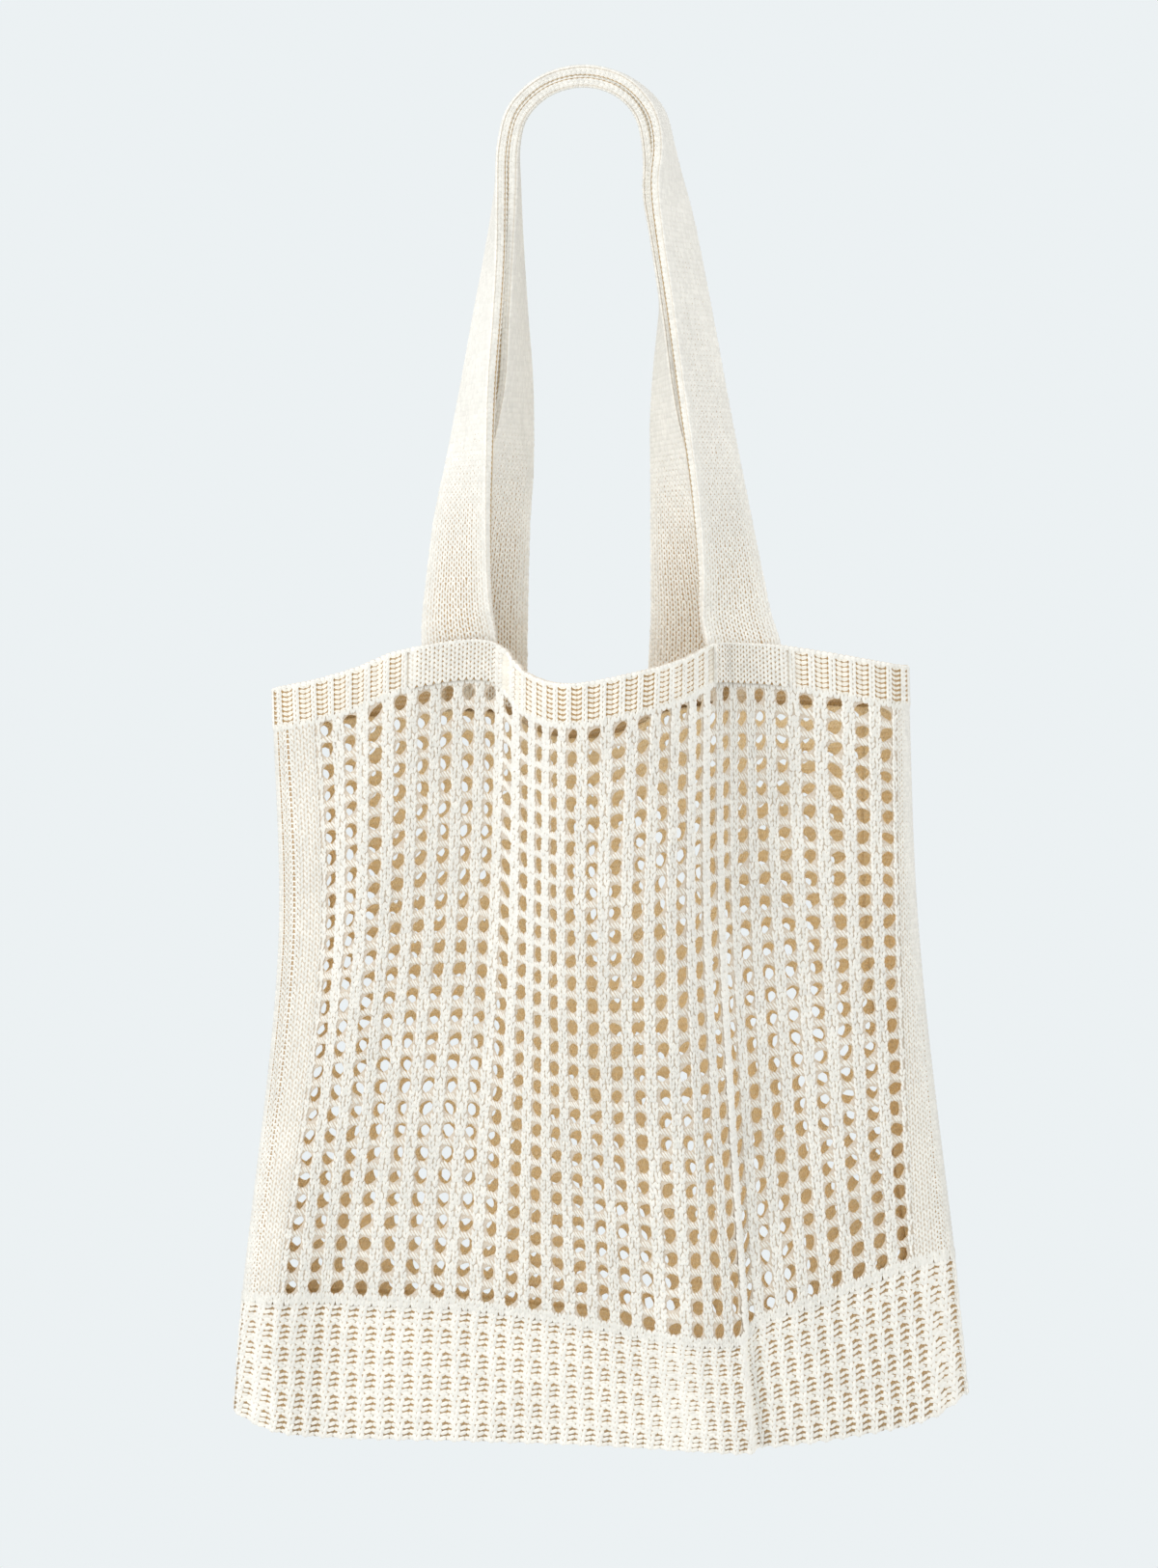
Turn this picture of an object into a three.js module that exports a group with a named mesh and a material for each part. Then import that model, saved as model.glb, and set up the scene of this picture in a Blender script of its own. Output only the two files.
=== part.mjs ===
// A knitted openwork tote bag that hangs by its two straps.
// Millimetres, +Z up. A viewer in front looks along +Y, with +X to the right.
// The origin is where the bag hangs: the inside top of the loop that its straps make.

import * as THREE from 'three';

// Sizes of the bag
const strapDrop = 290; // from the inside of the strap loop down to the rim
const bodyHeight = 410; // from the rim at the straps down to the hem
const halfWidth = 190; // half the body's width at the hem
const fullDepth = 70; // how far the fullest fold stands out from the sides
const wall = 2.6; // openwork panels and plain sides
const bandHeight = 20; // ribbed band round the mouth
const bandWall = 3.2;
const ribDepth = 1.1;
const patchRise = 2.2; // how far a sewn strap end lifts the band before it
const strapWidth = 38;
const strapThickness = 4.5;
const loopHalfWidth = 40; // half the strap loop's width near its top
const twistPastTop = 10; // degrees that each strap has turned where the loop's right side begins
const tipForward = 0.19; // the slope at which the straps' front edges hang down over the hook
const gap = 0.3; // left between neighbouring pieces
const strapGap = 0.8; // left between the straps where one lies on the other
const seamRoom = 0.5; // from each wall to the middle between them, where the bottom seam closes

// The body is one loop of knitting, measured in eyelet columns:
// the front is 0 to 28, the right side 28 to 32, the back 32 to 60 and the left side 60 to 64.
const panelColumns = 28;
const sideColumns = 4;
const loopColumns = 2 * (panelColumns + sideColumns);
const ribStepsPerColumn = 2.75; // a crest and a groove for each rib, so 88 ribs go round
const loopSteps = loopColumns * ribStepsPerColumn;
const mirrorSum = 2 * panelColumns + sideColumns; // column k of the front lies before column 60 - k
const leftFold = -sideColumns / 2;
const rightFold = panelColumns + sideColumns / 2;

// Heights on the knitting: 0 is the rim, 1 the lower border of the panels
const waistLevel = 0.43;
const bandLevel = 0.06;
const hemLevel = 1.2;
const levelGap = (1.5 * gap) / (bodyHeight * 0.78); // the borders slant, which narrows it
const columnPitch = halfWidth / 15.6; // from one eyelet column to the next, laid flat

// Coarse gaps that stand for the eyelets
const gapColumns = 11;
const gapRows = 5;
const gapShareAcross = 0.29; // half a gap's width, as a share of its cell
const gapShareDown = 0.31;

// Where the strap ends are sewn, in columns
const strapColumns = {
  frontLeft: 6,
  frontRight: 21.7,
  backRight: mirrorSum - 20.5,
  backLeft: mirrorSum - 7.6,
};

// The folds of the front, a row for each place round the loop. X is a share of halfWidth, Y of fullDepth
// (less than 0 stands towards the viewer), and rim, border and hem are shares of bodyHeight below the straps.
const frontNames = 'at rim topX topY waistX waistY border lowX lowY hem hemX hemY'.split(' ');
const frontFolds = [
  [-2, 0.056, -0.842, 0, -0.826, 0, 0.82, -0.924, 0, 0.968, -0.953, 0],
  [0, 0.047, -0.733, -0.13, -0.713, -0.11, 0.821, -0.827, -0.17, 0.99, -0.844, -0.1],
  [1.8, 0.031, -0.612, -0.2, -0.617, -0.3, 0.822, -0.717, -0.06, 0.997, -0.733, -0.08],
  [3.5, 0.01, -0.493, -0.26, -0.51, -0.29, 0.824, -0.609, -0.09, 0.998, -0.615, -0.13],
  [7.5, -0.002, -0.248, -0.26, -0.269, -0.37, 0.827, -0.329, -0.2, 0.998, -0.332, -0.23],
  [9.5, 0.039, -0.155, -0.49, -0.163, -0.57, 0.834, -0.196, -0.26, 0.998, -0.195, -0.29],
  [12.5, 0.0545, -0.031, -0.86, -0.034, -0.89, 0.844, -0.005, -0.39, 0.998, 0.003, -0.4],
  [15.5, 0.038, 0.163, -0.86, 0.141, -1, 0.858, 0.175, -0.51, 0.999, 0.193, -0.53],
  [17.5, 0.022, 0.267, -0.6, 0.256, -0.97, 0.865, 0.308, -0.63, 1, 0.329, -0.63],
  [19.5, 0.002, 0.345, -0.34, 0.345, -0.73, 0.861, 0.41, -0.69, 1, 0.436, -0.69],
  [20.2, 0, 0.37, -0.32, 0.372, -0.64, 0.853, 0.436, -0.55, 0.996, 0.469, -0.56],
  [21, 0, 0.4, -0.3, 0.405, -0.53, 0.838, 0.469, -0.54, 0.995, 0.507, -0.57],
  [23.5, 0.004, 0.526, -0.28, 0.551, -0.34, 0.815, 0.618, -0.47, 0.99, 0.665, -0.46],
  [28, 0.027, 0.847, -0.09, 0.855, -0.17, 0.773, 0.894, -0.19, 0.973, 0.934, -0.17],
  [30, 0.026, 0.874, 0.2, 0.9, 0.06, 0.765, 1.003, 0, 0.945, 1.042, 0],
];

// The back, in the columns of the front that lie before it. Its hem is the front's.
const backNames = 'at rim topX topY waistX waistY border lowX lowY'.split(' ');
const backFolds = [
  [28, 0.026, 0.779, 0.37, 0.779, 0.26, 0.775, 0.884, -0.03],
  [25, 0.024, 0.579, 0.4, 0.589, 0.4, 0.81, 0.695, -0.14],
  [20.2, 0.029, 0.263, 0.38, 0.326, 0.51, 0.845, 0.442, -0.28],
  [17, 0.056, 0.11, 0.72, 0.158, 0.71, 0.845, 0.263, -0.17],
  [14, 0.066, 0, 0.86, 0.01, 0.8, 0.84, 0.095, -0.06],
  [11, 0.06, -0.11, 0.7, -0.126, 0.71, 0.835, -0.105, 0],
  [7.6, 0.034, -0.258, 0.34, -0.284, 0.49, 0.825, -0.326, 0.09],
  [2, 0.04, -0.621, 0.31, -0.621, 0.29, 0.822, -0.684, 0.17],
  [0, 0.05, -0.747, 0.17, -0.737, 0.17, 0.82, -0.832, 0.11],
];

// The straps from the left strap end over the hook to the right one, a row for each bend. Down is a share of
// strapDrop, X of loopHalfWidth, Y of strapWidth, and turn is the way the strap's width faces, in degrees.
const strapNames = 'down x y turn'.split(' ');
const frontStrapLeft = [
  [0.95, -1.625, -0.31, 20],
  [0.88, -1.61, -0.28, 33],
  [0.78, -1.565, -0.25, 44],
  [0.68, -1.48, -0.21, 56],
  [0.54, -1.365, -0.16, 68],
  [0.42, -1.255, -0.1, 74],
  [0.3, -1.15, -0.05, 81],
  [0.19, -1.08, -0.02, 88],
];
const frontStrapRight = [
  [0.18, 1.09, -0.02, 112],
  [0.26, 1.185, -0.05, 118],
  [0.4, 1.355, -0.1, 122],
  [0.57, 1.55, -0.16, 127],
  [0.73, 1.74, -0.22, 133],
  [0.87, 1.885, -0.26, 146],
  [0.95, 1.95, -0.29, 162],
];
const backStrapLeft = [
  [0.95, -1.205, 0.5, 17],
  [0.88, -1.165, 0.44, 28],
  [0.78, -1.09, 0.36, 42],
  [0.68, -0.99, 0.29, 53],
  [0.54, -0.9, 0.19, 68],
  [0.42, -0.905, 0.11, 76],
  [0.3, -0.91, 0.05, 83],
  [0.19, -0.91, 0.02, 88],
];
const backStrapRight = [
  [0.18, 0.965, 0.28, 73],
  [0.26, 1.045, 0.26, 73],
  [0.4, 1.06, 0.22, 90],
  [0.57, 1.085, 0.22, 108],
  [0.73, 1.21, 0.29, 128],
  [0.87, 1.3, 0.42, 147],
  [0.95, 1.34, 0.5, 160],
];

const knit = new THREE.MeshStandardMaterial({ color: 0xefe6d3, roughness: 0.95, metalness: 0 });

function named(names, rows) {
  return rows.map((row) => Object.fromEntries(names.map((name, i) => [name, row[i]])));
}

// A smooth curve through one column of a table, at a place between its rows
function smooth(rows, column, at) {
  let i = 1;
  while (i < rows.length - 1 && rows[i].at < at) i += 1;
  const before = rows[Math.max(i - 2, 0)];
  const from = rows[i - 1];
  const to = rows[i];
  const after = rows[Math.min(i + 1, rows.length - 1)];
  const span = to.at - from.at;
  const t = (at - from.at) / span;
  const slopeFrom = ((to[column] - before[column]) / (to.at - before.at)) * span;
  const slopeTo = ((after[column] - from[column]) / (after.at - from.at)) * span;
  return (
    from[column] * (1 + 2 * t) * (1 - t) ** 2 +
    slopeFrom * t * (1 - t) ** 2 +
    to[column] * t * t * (3 - 2 * t) -
    slopeTo * t * t * (1 - t)
  );
}

// The whole loop as one table that repeats, with the back's hem taken from the front's
function loopTable() {
  const front = named(frontNames, frontFolds);
  const back = named(backNames, backFolds).map((row) => ({
    ...row,
    at: mirrorSum - row.at,
    hem: smooth(front, 'hem', row.at),
    hemX: smooth(front, 'hemX', row.at),
    hemY: smooth(front, 'hemY', row.at),
  }));
  const once = [...front, ...back];
  const shifted = (turns) => once.map((row) => ({ ...row, at: row.at + turns * loopColumns }));
  return [...shifted(-1), ...once, ...shifted(1)];
}
const loop = loopTable();

// The middle of the knitted wall at a column and a level, as a point
function middle(column, level) {
  const value = (name) => smooth(loop, name, column);
  const across = (axis) => {
    const levels = [
      { at: 0, value: value('top' + axis) },
      { at: waistLevel, value: value('waist' + axis) },
      { at: 1, value: value('low' + axis) },
      { at: hemLevel, value: value('hem' + axis) },
    ];
    return smooth(levels, 'value', level);
  };
  const rimZ = -strapDrop - bodyHeight * value('rim');
  const borderZ = -strapDrop - bodyHeight * value('border');
  const hemZ = -strapDrop - bodyHeight * value('hem');
  const z =
    level < bandLevel
      ? rimZ - (bandHeight * level) / bandLevel
      : level < 1
        ? THREE.MathUtils.mapLinear(level, bandLevel, 1, rimZ - bandHeight, borderZ)
        : THREE.MathUtils.mapLinear(level, 1, hemLevel, borderZ, hemZ);
  return new THREE.Vector3(halfWidth * across('X'), fullDepth * across('Y') + seamShift(column, level), z);
}

// Near the hem the front and back walls lie side by side, so each moves off the seam
function seamShift(column, level) {
  const closing = THREE.MathUtils.smoothstep(level, 1, hemLevel);
  const place = THREE.MathUtils.euclideanModulo(column - leftFold, loopColumns);
  const halfLoop = loopColumns / 2;
  const toFold = Math.min(place % halfLoop, halfLoop - (place % halfLoop));
  const side = place < halfLoop ? -1 : 1;
  return side * closing * (wall / 2 + seamRoom) * Math.min(1, toFold / 1.5);
}

// The level direction that points out of the wall
function outward(column, level) {
  const step = 0.1;
  const run = middle(column + step, level).sub(middle(column - step, level));
  return new THREE.Vector3(run.y, -run.x, 0).normalize();
}

function offWall(column, level, distance) {
  return middle(column, level).addScaledVector(outward(column, level), distance);
}

// Makes a mesh from points and triangles
function meshOf(name, points, triangles) {
  const geometry = new THREE.BufferGeometry();
  geometry.setAttribute('position', new THREE.Float32BufferAttribute(points.flatMap((p) => p.toArray()), 3));
  geometry.setIndex(triangles.flat());
  geometry.computeVertexNormals();
  const mesh = new THREE.Mesh(geometry, knit.clone());
  mesh.name = name;
  return mesh;
}

// Turns a sheet of triangles into a closed wall: an outer face, an inner face and a rim along every free edge
function thickSheet(name, spots, triangles, outerPoint, innerPoint) {
  const points = [...spots.map(outerPoint), ...spots.map(innerPoint)];
  const inner = spots.length;
  const edges = new Set();
  for (const [a, b, c] of triangles) {
    edges.add(a + ' ' + b);
    edges.add(b + ' ' + c);
    edges.add(c + ' ' + a);
  }
  const faces = triangles.flatMap(([a, b, c]) => [
    [a, b, c],
    [inner + a, inner + c, inner + b],
  ]);
  for (const edge of edges) {
    const [a, b] = edge.split(' ').map(Number);
    if (edges.has(b + ' ' + a)) continue;
    faces.push([b, a, inner + a], [b, inner + a, inner + b]);
  }
  return meshOf(name, points, faces);
}

// A panel of cells, each with one six-sided gap that is pointed below. Its upper and lower edges have a point
// at every rib step, and its side edges one at half a cell, so that they follow the pieces beside them.
function panel(name, firstColumn) {
  const spots = [];
  const known = new Map();
  const triangles = [];
  const top = bandLevel + levelGap;
  const spot = (across, down) => {
    const key = across.toFixed(5) + ' ' + down.toFixed(5);
    if (!known.has(key)) {
      known.set(key, spots.length);
      const column = firstColumn + (across * panelColumns) / gapColumns;
      spots.push({ column, level: THREE.MathUtils.mapLinear(down, 0, gapRows, top, 1) });
    }
    return known.get(key);
  };
  const stepsPerCell = (panelColumns * ribStepsPerColumn) / gapColumns;
  const side = (from, to, pieces) => {
    const line = [];
    for (let i = 0; i <= pieces; i += 1) {
      const share = i / pieces;
      line.push(spot(from[0] + (to[0] - from[0]) * share, from[1] + (to[1] - from[1]) * share));
    }
    return line;
  };
  const fan = (line, apex) => {
    for (let i = 1; i < line.length; i += 1) triangles.push([line[i - 1], line[i], apex]);
  };
  for (let c = 0; c < gapColumns; c += 1) {
    for (let r = 0; r < gapRows; r += 1) {
      const hole = [
        [0, 1],
        [1, 0.4],
        [1, -0.6],
        [0, -1],
        [-1, -0.6],
        [-1, 0.4],
      ].map(([x, y]) => spot(c + 0.5 + x * gapShareAcross, r + 0.5 + y * gapShareDown));
      const lower = side([c, r + 1], [c + 1, r + 1], r === gapRows - 1 ? stepsPerCell : 1);
      const right = side([c + 1, r + 1], [c + 1, r], c === gapColumns - 1 ? 2 : 1);
      const upper = side([c + 1, r], [c, r], r === 0 ? stepsPerCell : 1);
      const left = side([c, r], [c, r + 1], c === 0 ? 2 : 1);
      fan(lower, hole[0]);
      fan(right, hole[2]);
      fan(upper, hole[3]);
      fan(left, hole[5]);
      triangles.push([right[0], hole[1], hole[0]], [right[0], hole[2], hole[1]]);
      triangles.push([upper[0], hole[3], hole[2]]);
      triangles.push([left[0], hole[4], hole[3]], [left[0], hole[5], hole[4]]);
      triangles.push([lower[0], hole[0], hole[5]]);
    }
  }
  const face = (distance) => (s) => offWall(s.column, s.level, distance);
  return thickSheet(name, spots, triangles, face(wall / 2), face(-wall / 2));
}

// Rows of spots joined into a sheet. A closed sheet joins its last column to its first.
function gridTriangles(rows, columns, closed) {
  const triangles = [];
  for (let r = 0; r < rows - 1; r += 1) {
    for (let c = 0; c < (closed ? columns : columns - 1); c += 1) {
      const next = (c + 1) % columns;
      const [a, b] = [r * columns + c, r * columns + next];
      const [d, e] = [a + columns, b + columns];
      triangles.push([d, e, b], [d, b, a]);
    }
  }
  return triangles;
}

function plainSide(name, firstColumn) {
  const pieces = 6;
  const rows = 2 * gapRows + 1;
  const start = firstColumn + gap / columnPitch;
  const end = firstColumn + sideColumns - gap / columnPitch;
  const spots = [];
  for (let r = 0; r < rows; r += 1) {
    const level = THREE.MathUtils.mapLinear(r, 0, rows - 1, bandLevel + levelGap, 1);
    for (let c = 0; c <= pieces; c += 1) {
      spots.push({ column: THREE.MathUtils.mapLinear(c, 0, pieces, start, end), level });
    }
  }
  const face = (distance) => (s) => offWall(s.column, s.level, distance);
  return thickSheet(name, spots, gridTriangles(rows, pieces + 1, false), face(wall / 2), face(-wall / 2));
}

// Ribs: every second step round the loop is a crest
function ribAt(step) {
  return step % 2 === 0 ? ribDepth / 2 : -ribDepth / 2;
}

function ribbedSpots(levels) {
  return levels.flatMap((level, row) =>
    Array.from({ length: loopSteps }, (_, step) => ({ step, column: step / ribStepsPerColumn, level, row })),
  );
}

// How far a strap end behind the band lifts it
function patchAt(column) {
  const halfPatch = (0.66 * strapWidth) / columnPitch;
  const near = Object.values(strapColumns).some((place) => Math.abs(column - place) < halfPatch);
  return near ? patchRise : 0;
}

function topBand() {
  const spots = ribbedSpots([0, bandLevel]);
  const outer = (s) => offWall(s.column, s.level, bandWall / 2 + ribAt(s.step) + patchAt(s.column));
  const inner = (s) => offWall(s.column, s.level, patchAt(s.column) - bandWall / 2);
  return thickSheet('top_band', spots, gridTriangles(2, loopSteps, true), outer, inner);
}

function bottomBand() {
  const outerLevels = [1 + levelGap, 1.08, hemLevel];
  const innerLevels = [1 + levelGap, 1.08, 1.155];
  const spots = ribbedSpots(outerLevels);
  const triangles = gridTriangles(outerLevels.length, loopSteps, true);
  // The seam joins each step of the front to the step of the back behind it
  const hemRow = (outerLevels.length - 1) * loopSteps;
  const wrap = (step) => hemRow + THREE.MathUtils.euclideanModulo(step, loopSteps);
  const seamSum = mirrorSum * ribStepsPerColumn;
  const firstStep = Math.ceil(leftFold * ribStepsPerColumn);
  const lastStep = Math.floor(rightFold * ribStepsPerColumn);
  for (let step = firstStep; step < lastStep; step += 1) {
    const [a, b] = [wrap(step), wrap(step + 1)];
    const [c, d] = [wrap(seamSum - step - 1), wrap(seamSum - step)];
    triangles.push([a, c, b], [a, d, c]);
  }
  const outer = (s) => offWall(s.column, s.level, wall / 2 + ribAt(s.step));
  // Inside, the two walls meet before the hem, and neither crosses the middle between them
  const inner = (s) => {
    const level = innerLevels[s.row];
    const apart = middle(s.column, level).distanceTo(middle(mirrorSum - s.column, level));
    return offWall(s.column, level, -Math.min(wall / 2, 0.4 * apart));
  };
  return thickSheet('bottom_band', spots, triangles, outer, inner);
}

// Where a flat strap end lies just clear of the band's inner face, and the way the band runs there
function behindBand(column, level) {
  const centre = middle(column, level);
  const run = middle(column + 1.4, level).sub(middle(column - 1.4, level)).setZ(0).normalize();
  const inward = new THREE.Vector3(-run.y, run.x, 0);
  // The face is straight from one rib step to the next, so its deepest point before the strap end is at a step
  // or at an edge of the strap
  const reach = strapWidth / 2 + gap;
  const middleStep = Math.round(column * ribStepsPerColumn);
  let depth = -Infinity;
  for (let step = middleStep - 8; step < middleStep + 8; step += 1) {
    const [from, to] = [step, step + 1].map((end) => {
      const beside = end / ribStepsPerColumn;
      const face = offWall(beside, level, patchAt(beside) - bandWall / 2).sub(centre);
      return { along: face.dot(run), deep: face.dot(inward) };
    });
    const ends = [from.along, to.along];
    for (const along of [...ends, -reach, reach]) {
      if (Math.abs(along) > reach || along < Math.min(...ends) || along > Math.max(...ends)) continue;
      depth = Math.max(depth, THREE.MathUtils.mapLinear(along, from.along, to.along, from.deep, to.deep));
    }
  }
  return { point: centre.addScaledVector(inward, depth + 1.7 * gap + strapThickness / 2), run };
}

// A strap's route as a table by step. Its ends lie flat behind the band where they are sewn.
function strapRoute({ left, right, leftColumn, rightColumn, side, halfArc, arcHeight, slide }) {
  const arcZ = -0.107 * strapDrop;
  const sewn = (column, level, isLeft) => {
    const { point, run } = behindBand(column, level);
    const ends = isLeft === side > 0 ? run : run.negate();
    const turn = THREE.MathUtils.radToDeg(Math.atan2(-side * ends.y, ends.x));
    return { x: point.x, y: point.y, z: point.z, turn: isLeft ? turn : THREE.MathUtils.euclideanModulo(turn, 360) };
  };
  const onStrap = (row) => ({
    x: row.x * loopHalfWidth,
    y: row.y * strapWidth,
    z: -row.down * strapDrop,
    turn: row.turn,
  });
  const arc = [180, 150, 120, 90, 60, 30, 0].map((degrees) => {
    const angle = THREE.MathUtils.degToRad(degrees);
    const descent = Math.max(Math.cos(angle), 0) ** 2;
    return {
      x: halfArc * Math.cos(angle),
      y: slide * strapWidth * descent,
      z: arcZ + arcHeight * Math.sin(angle),
      turn: 90 + side * twistPastTop * descent,
    };
  });
  const points = [
    ...[0.9, 0.5, 0.1].map((share) => sewn(leftColumn, bandLevel * share, true)),
    ...named(strapNames, left).map(onStrap),
    ...arc,
    ...named(strapNames, right).map(onStrap),
    ...[0.1, 0.5, 0.9].map((share) => sewn(rightColumn, bandLevel * share, false)),
  ];
  return points.map((point, i) => ({ ...point, at: i }));
}

function strap(name, options) {
  const route = strapRoute(options);
  const pieces = 60;
  const place = (at) => new THREE.Vector3(...['x', 'y', 'z'].map((axis) => smooth(route, axis, at)));
  const edge = strapThickness / 4;
  const half = [strapWidth / 2, strapThickness / 2];
  const section = [
    [half[0], -edge],
    [half[0], edge],
    [half[0] - edge, half[1]],
    [edge - half[0], half[1]],
    [-half[0], edge],
    [-half[0], -edge],
    [edge - half[0], -half[1]],
    [half[0] - edge, -half[1]],
  ];
  const points = [];
  for (let i = 0; i <= pieces; i += 1) {
    const at = (i / pieces) * (route.length - 1);
    const step = 0.02;
    const along = place(Math.min(at + step, route.length - 1)).sub(place(Math.max(at - step, 0))).normalize();
    const turn = THREE.MathUtils.degToRad(smooth(route, 'turn', at));
    const forward = -options.side * Math.sin(turn);
    const across = new THREE.Vector3(Math.cos(turn), forward, tipForward * forward);
    across.addScaledVector(along, -across.dot(along)).normalize();
    const through = new THREE.Vector3().crossVectors(along, across);
    for (const [w, t] of section) {
      points.push(place(at).addScaledVector(across, w).addScaledVector(through, t));
    }
  }
  const sides = section.length;
  const triangles = [];
  for (let i = 0; i < pieces; i += 1) {
    for (let s = 0; s < sides; s += 1) {
      const [a, b] = [i * sides + s, i * sides + ((s + 1) % sides)];
      triangles.push([a, b, b + sides], [a, b + sides, a + sides]);
    }
  }
  for (let s = 1; s < sides - 1; s += 1) {
    const end = pieces * sides;
    triangles.push([0, s + 1, s], [end, end + s, end + s + 1]);
  }
  return meshOf(name, points, triangles);
}

const bag = new THREE.Group();
bag.add(panel('front_panel', 0));
bag.add(plainSide('right_side', panelColumns));
bag.add(panel('back_panel', panelColumns + sideColumns));
bag.add(plainSide('left_side', 2 * panelColumns + sideColumns));
bag.add(topBand());
bag.add(bottomBand());

// The back strap lies on the hook and the front strap on top of it
const innerArc = { halfArc: loopHalfWidth * 0.905, arcHeight: 0.107 * strapDrop + strapThickness / 2, slide: 0.14 };
const outerArc = {
  halfArc: innerArc.halfArc + strapThickness + strapGap,
  arcHeight: innerArc.arcHeight + strapThickness + strapGap,
  slide: 0,
};
bag.add(
  strap('front_strap', {
    left: frontStrapLeft,
    right: frontStrapRight,
    leftColumn: strapColumns.frontLeft,
    rightColumn: strapColumns.frontRight,
    side: 1,
    ...outerArc,
  }),
);
bag.add(
  strap('back_strap', {
    left: backStrapLeft,
    right: backStrapRight,
    leftColumn: strapColumns.backLeft,
    rightColumn: strapColumns.backRight,
    side: -1,
    ...innerArc,
  }),
);

export default bag;
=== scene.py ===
# %% [markdown]
# # A knitted openwork tote bag
#
# The bag is one loop of cream cotton knitting, hung by two straps. Its front and back are openwork: a net
# of eyelets between upright braids. Plain strips join them at the sides, and a ribbed band closes each end.
# Each piece here has two layers: a thin core, which is the cloth seen as one sheet, and the stitches on it.
# Geometry Nodes lay the stitches, because thousands of the same small shape are one rule. The core lies a
# little deeper and is painted darker, with painted shade like the shade between real stitches.

# %% The frame, and the first settings
import math

import bpy
import numpy as np
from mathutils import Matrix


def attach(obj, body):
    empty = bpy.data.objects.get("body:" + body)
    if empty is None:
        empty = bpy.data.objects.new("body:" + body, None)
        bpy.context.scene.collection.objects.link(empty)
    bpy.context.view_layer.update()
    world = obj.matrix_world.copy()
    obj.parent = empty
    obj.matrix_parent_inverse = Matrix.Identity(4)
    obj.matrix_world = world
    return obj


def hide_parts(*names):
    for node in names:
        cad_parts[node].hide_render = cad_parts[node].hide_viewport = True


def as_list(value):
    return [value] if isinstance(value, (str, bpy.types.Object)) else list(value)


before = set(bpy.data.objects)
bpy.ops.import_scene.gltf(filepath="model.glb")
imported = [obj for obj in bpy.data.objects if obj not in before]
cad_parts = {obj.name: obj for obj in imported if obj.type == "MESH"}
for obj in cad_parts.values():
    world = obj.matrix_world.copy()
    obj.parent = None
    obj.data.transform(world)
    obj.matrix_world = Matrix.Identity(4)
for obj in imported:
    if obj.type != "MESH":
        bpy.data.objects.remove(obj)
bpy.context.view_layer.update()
scene = bpy.context.scene
chance = np.random.default_rng(11)

# %% [markdown]
# ## The camera
#
# A picture of a bag for a shop is taken from far away with a long lens, level with its middle, so that the
# bag keeps its true proportions. A short lens close by would swell its middle.

# %% The camera
FRAME_HEIGHT = 0.8125  # metres that the picture's height covers at the bag
FRAME_X, FRAME_Z = -0.0025, -0.362  # the middle of the picture
LENS = 85
SENSOR = 36
camera_data = bpy.data.cameras.new("camera")
camera_data.lens = LENS
camera_data.sensor_fit = "VERTICAL"
camera_data.sensor_height = SENSOR
camera = bpy.data.objects.new("camera", camera_data)
camera.location = (FRAME_X, -FRAME_HEIGHT * LENS / SENSOR, FRAME_Z)
camera.rotation_euler = (math.pi / 2, 0, 0)
scene.collection.objects.link(camera)
scene.camera = camera
print("the camera stands", round(-camera.location.y, 3), "m before the bag")

# %% [markdown]
# ## The sizes and folds of the bag
#
# The bag is described the way it was knitted: a place on it is a column, counted round the loop in eyelets,
# and a level, from 0 at the rim to 1 where the openwork ends. A short table then says where the loop lies
# at four levels, with a row for each fold. The other way, to model the folded cloth by eye, would lose the
# count of the stitches. These are the same sizes and tables as in the CAD source, in metres.

# %% Sizes
STRAP_DROP = 0.290
BODY_HEIGHT = 0.410
HALF_WIDTH = 0.190
FULL_DEPTH = 0.070
WALL = 0.0026
BAND_HEIGHT = 0.020
BAND_WALL = 0.0032
RIB_DEPTH = 0.0011
PATCH_RISE = 0.0022
STRAP_WIDTH = 0.038
STRAP_THICKNESS = 0.0045
LOOP_HALF_WIDTH = 0.040
TWIST_PAST_TOP = 10  # degrees
TIP_FORWARD = 0.19  # the slope at which the straps' front edges hang down over the hook
GAP = 0.0003
STRAP_GAP = 0.0008
SEAM_ROOM = 0.0005
SEAM_EASE = 1.5  # eyelet columns beside each side fold in which the walls part

PANEL_COLUMNS = 28
SIDE_COLUMNS = 4
LOOP_COLUMNS = 2 * (PANEL_COLUMNS + SIDE_COLUMNS)
MIRROR_SUM = 2 * PANEL_COLUMNS + SIDE_COLUMNS
LEFT_FOLD = -SIDE_COLUMNS / 2
RIGHT_FOLD = PANEL_COLUMNS + SIDE_COLUMNS / 2
WAIST_LEVEL = 0.43
BAND_LEVEL = 0.06
HEM_LEVEL = 1.2
COLUMN_PITCH = HALF_WIDTH / 15.6
RIBS = 88
STRAP_COLUMNS = {
    "front_left": 6,
    "front_right": 21.7,
    "back_right": MIRROR_SUM - 20.5,
    "back_left": MIRROR_SUM - 7.6,
}

# Each eyelet cell is four stitches wide and four rows high
CELL = 4
PANEL_CELLS_DOWN = 27
WALE = COLUMN_PITCH / CELL

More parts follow.
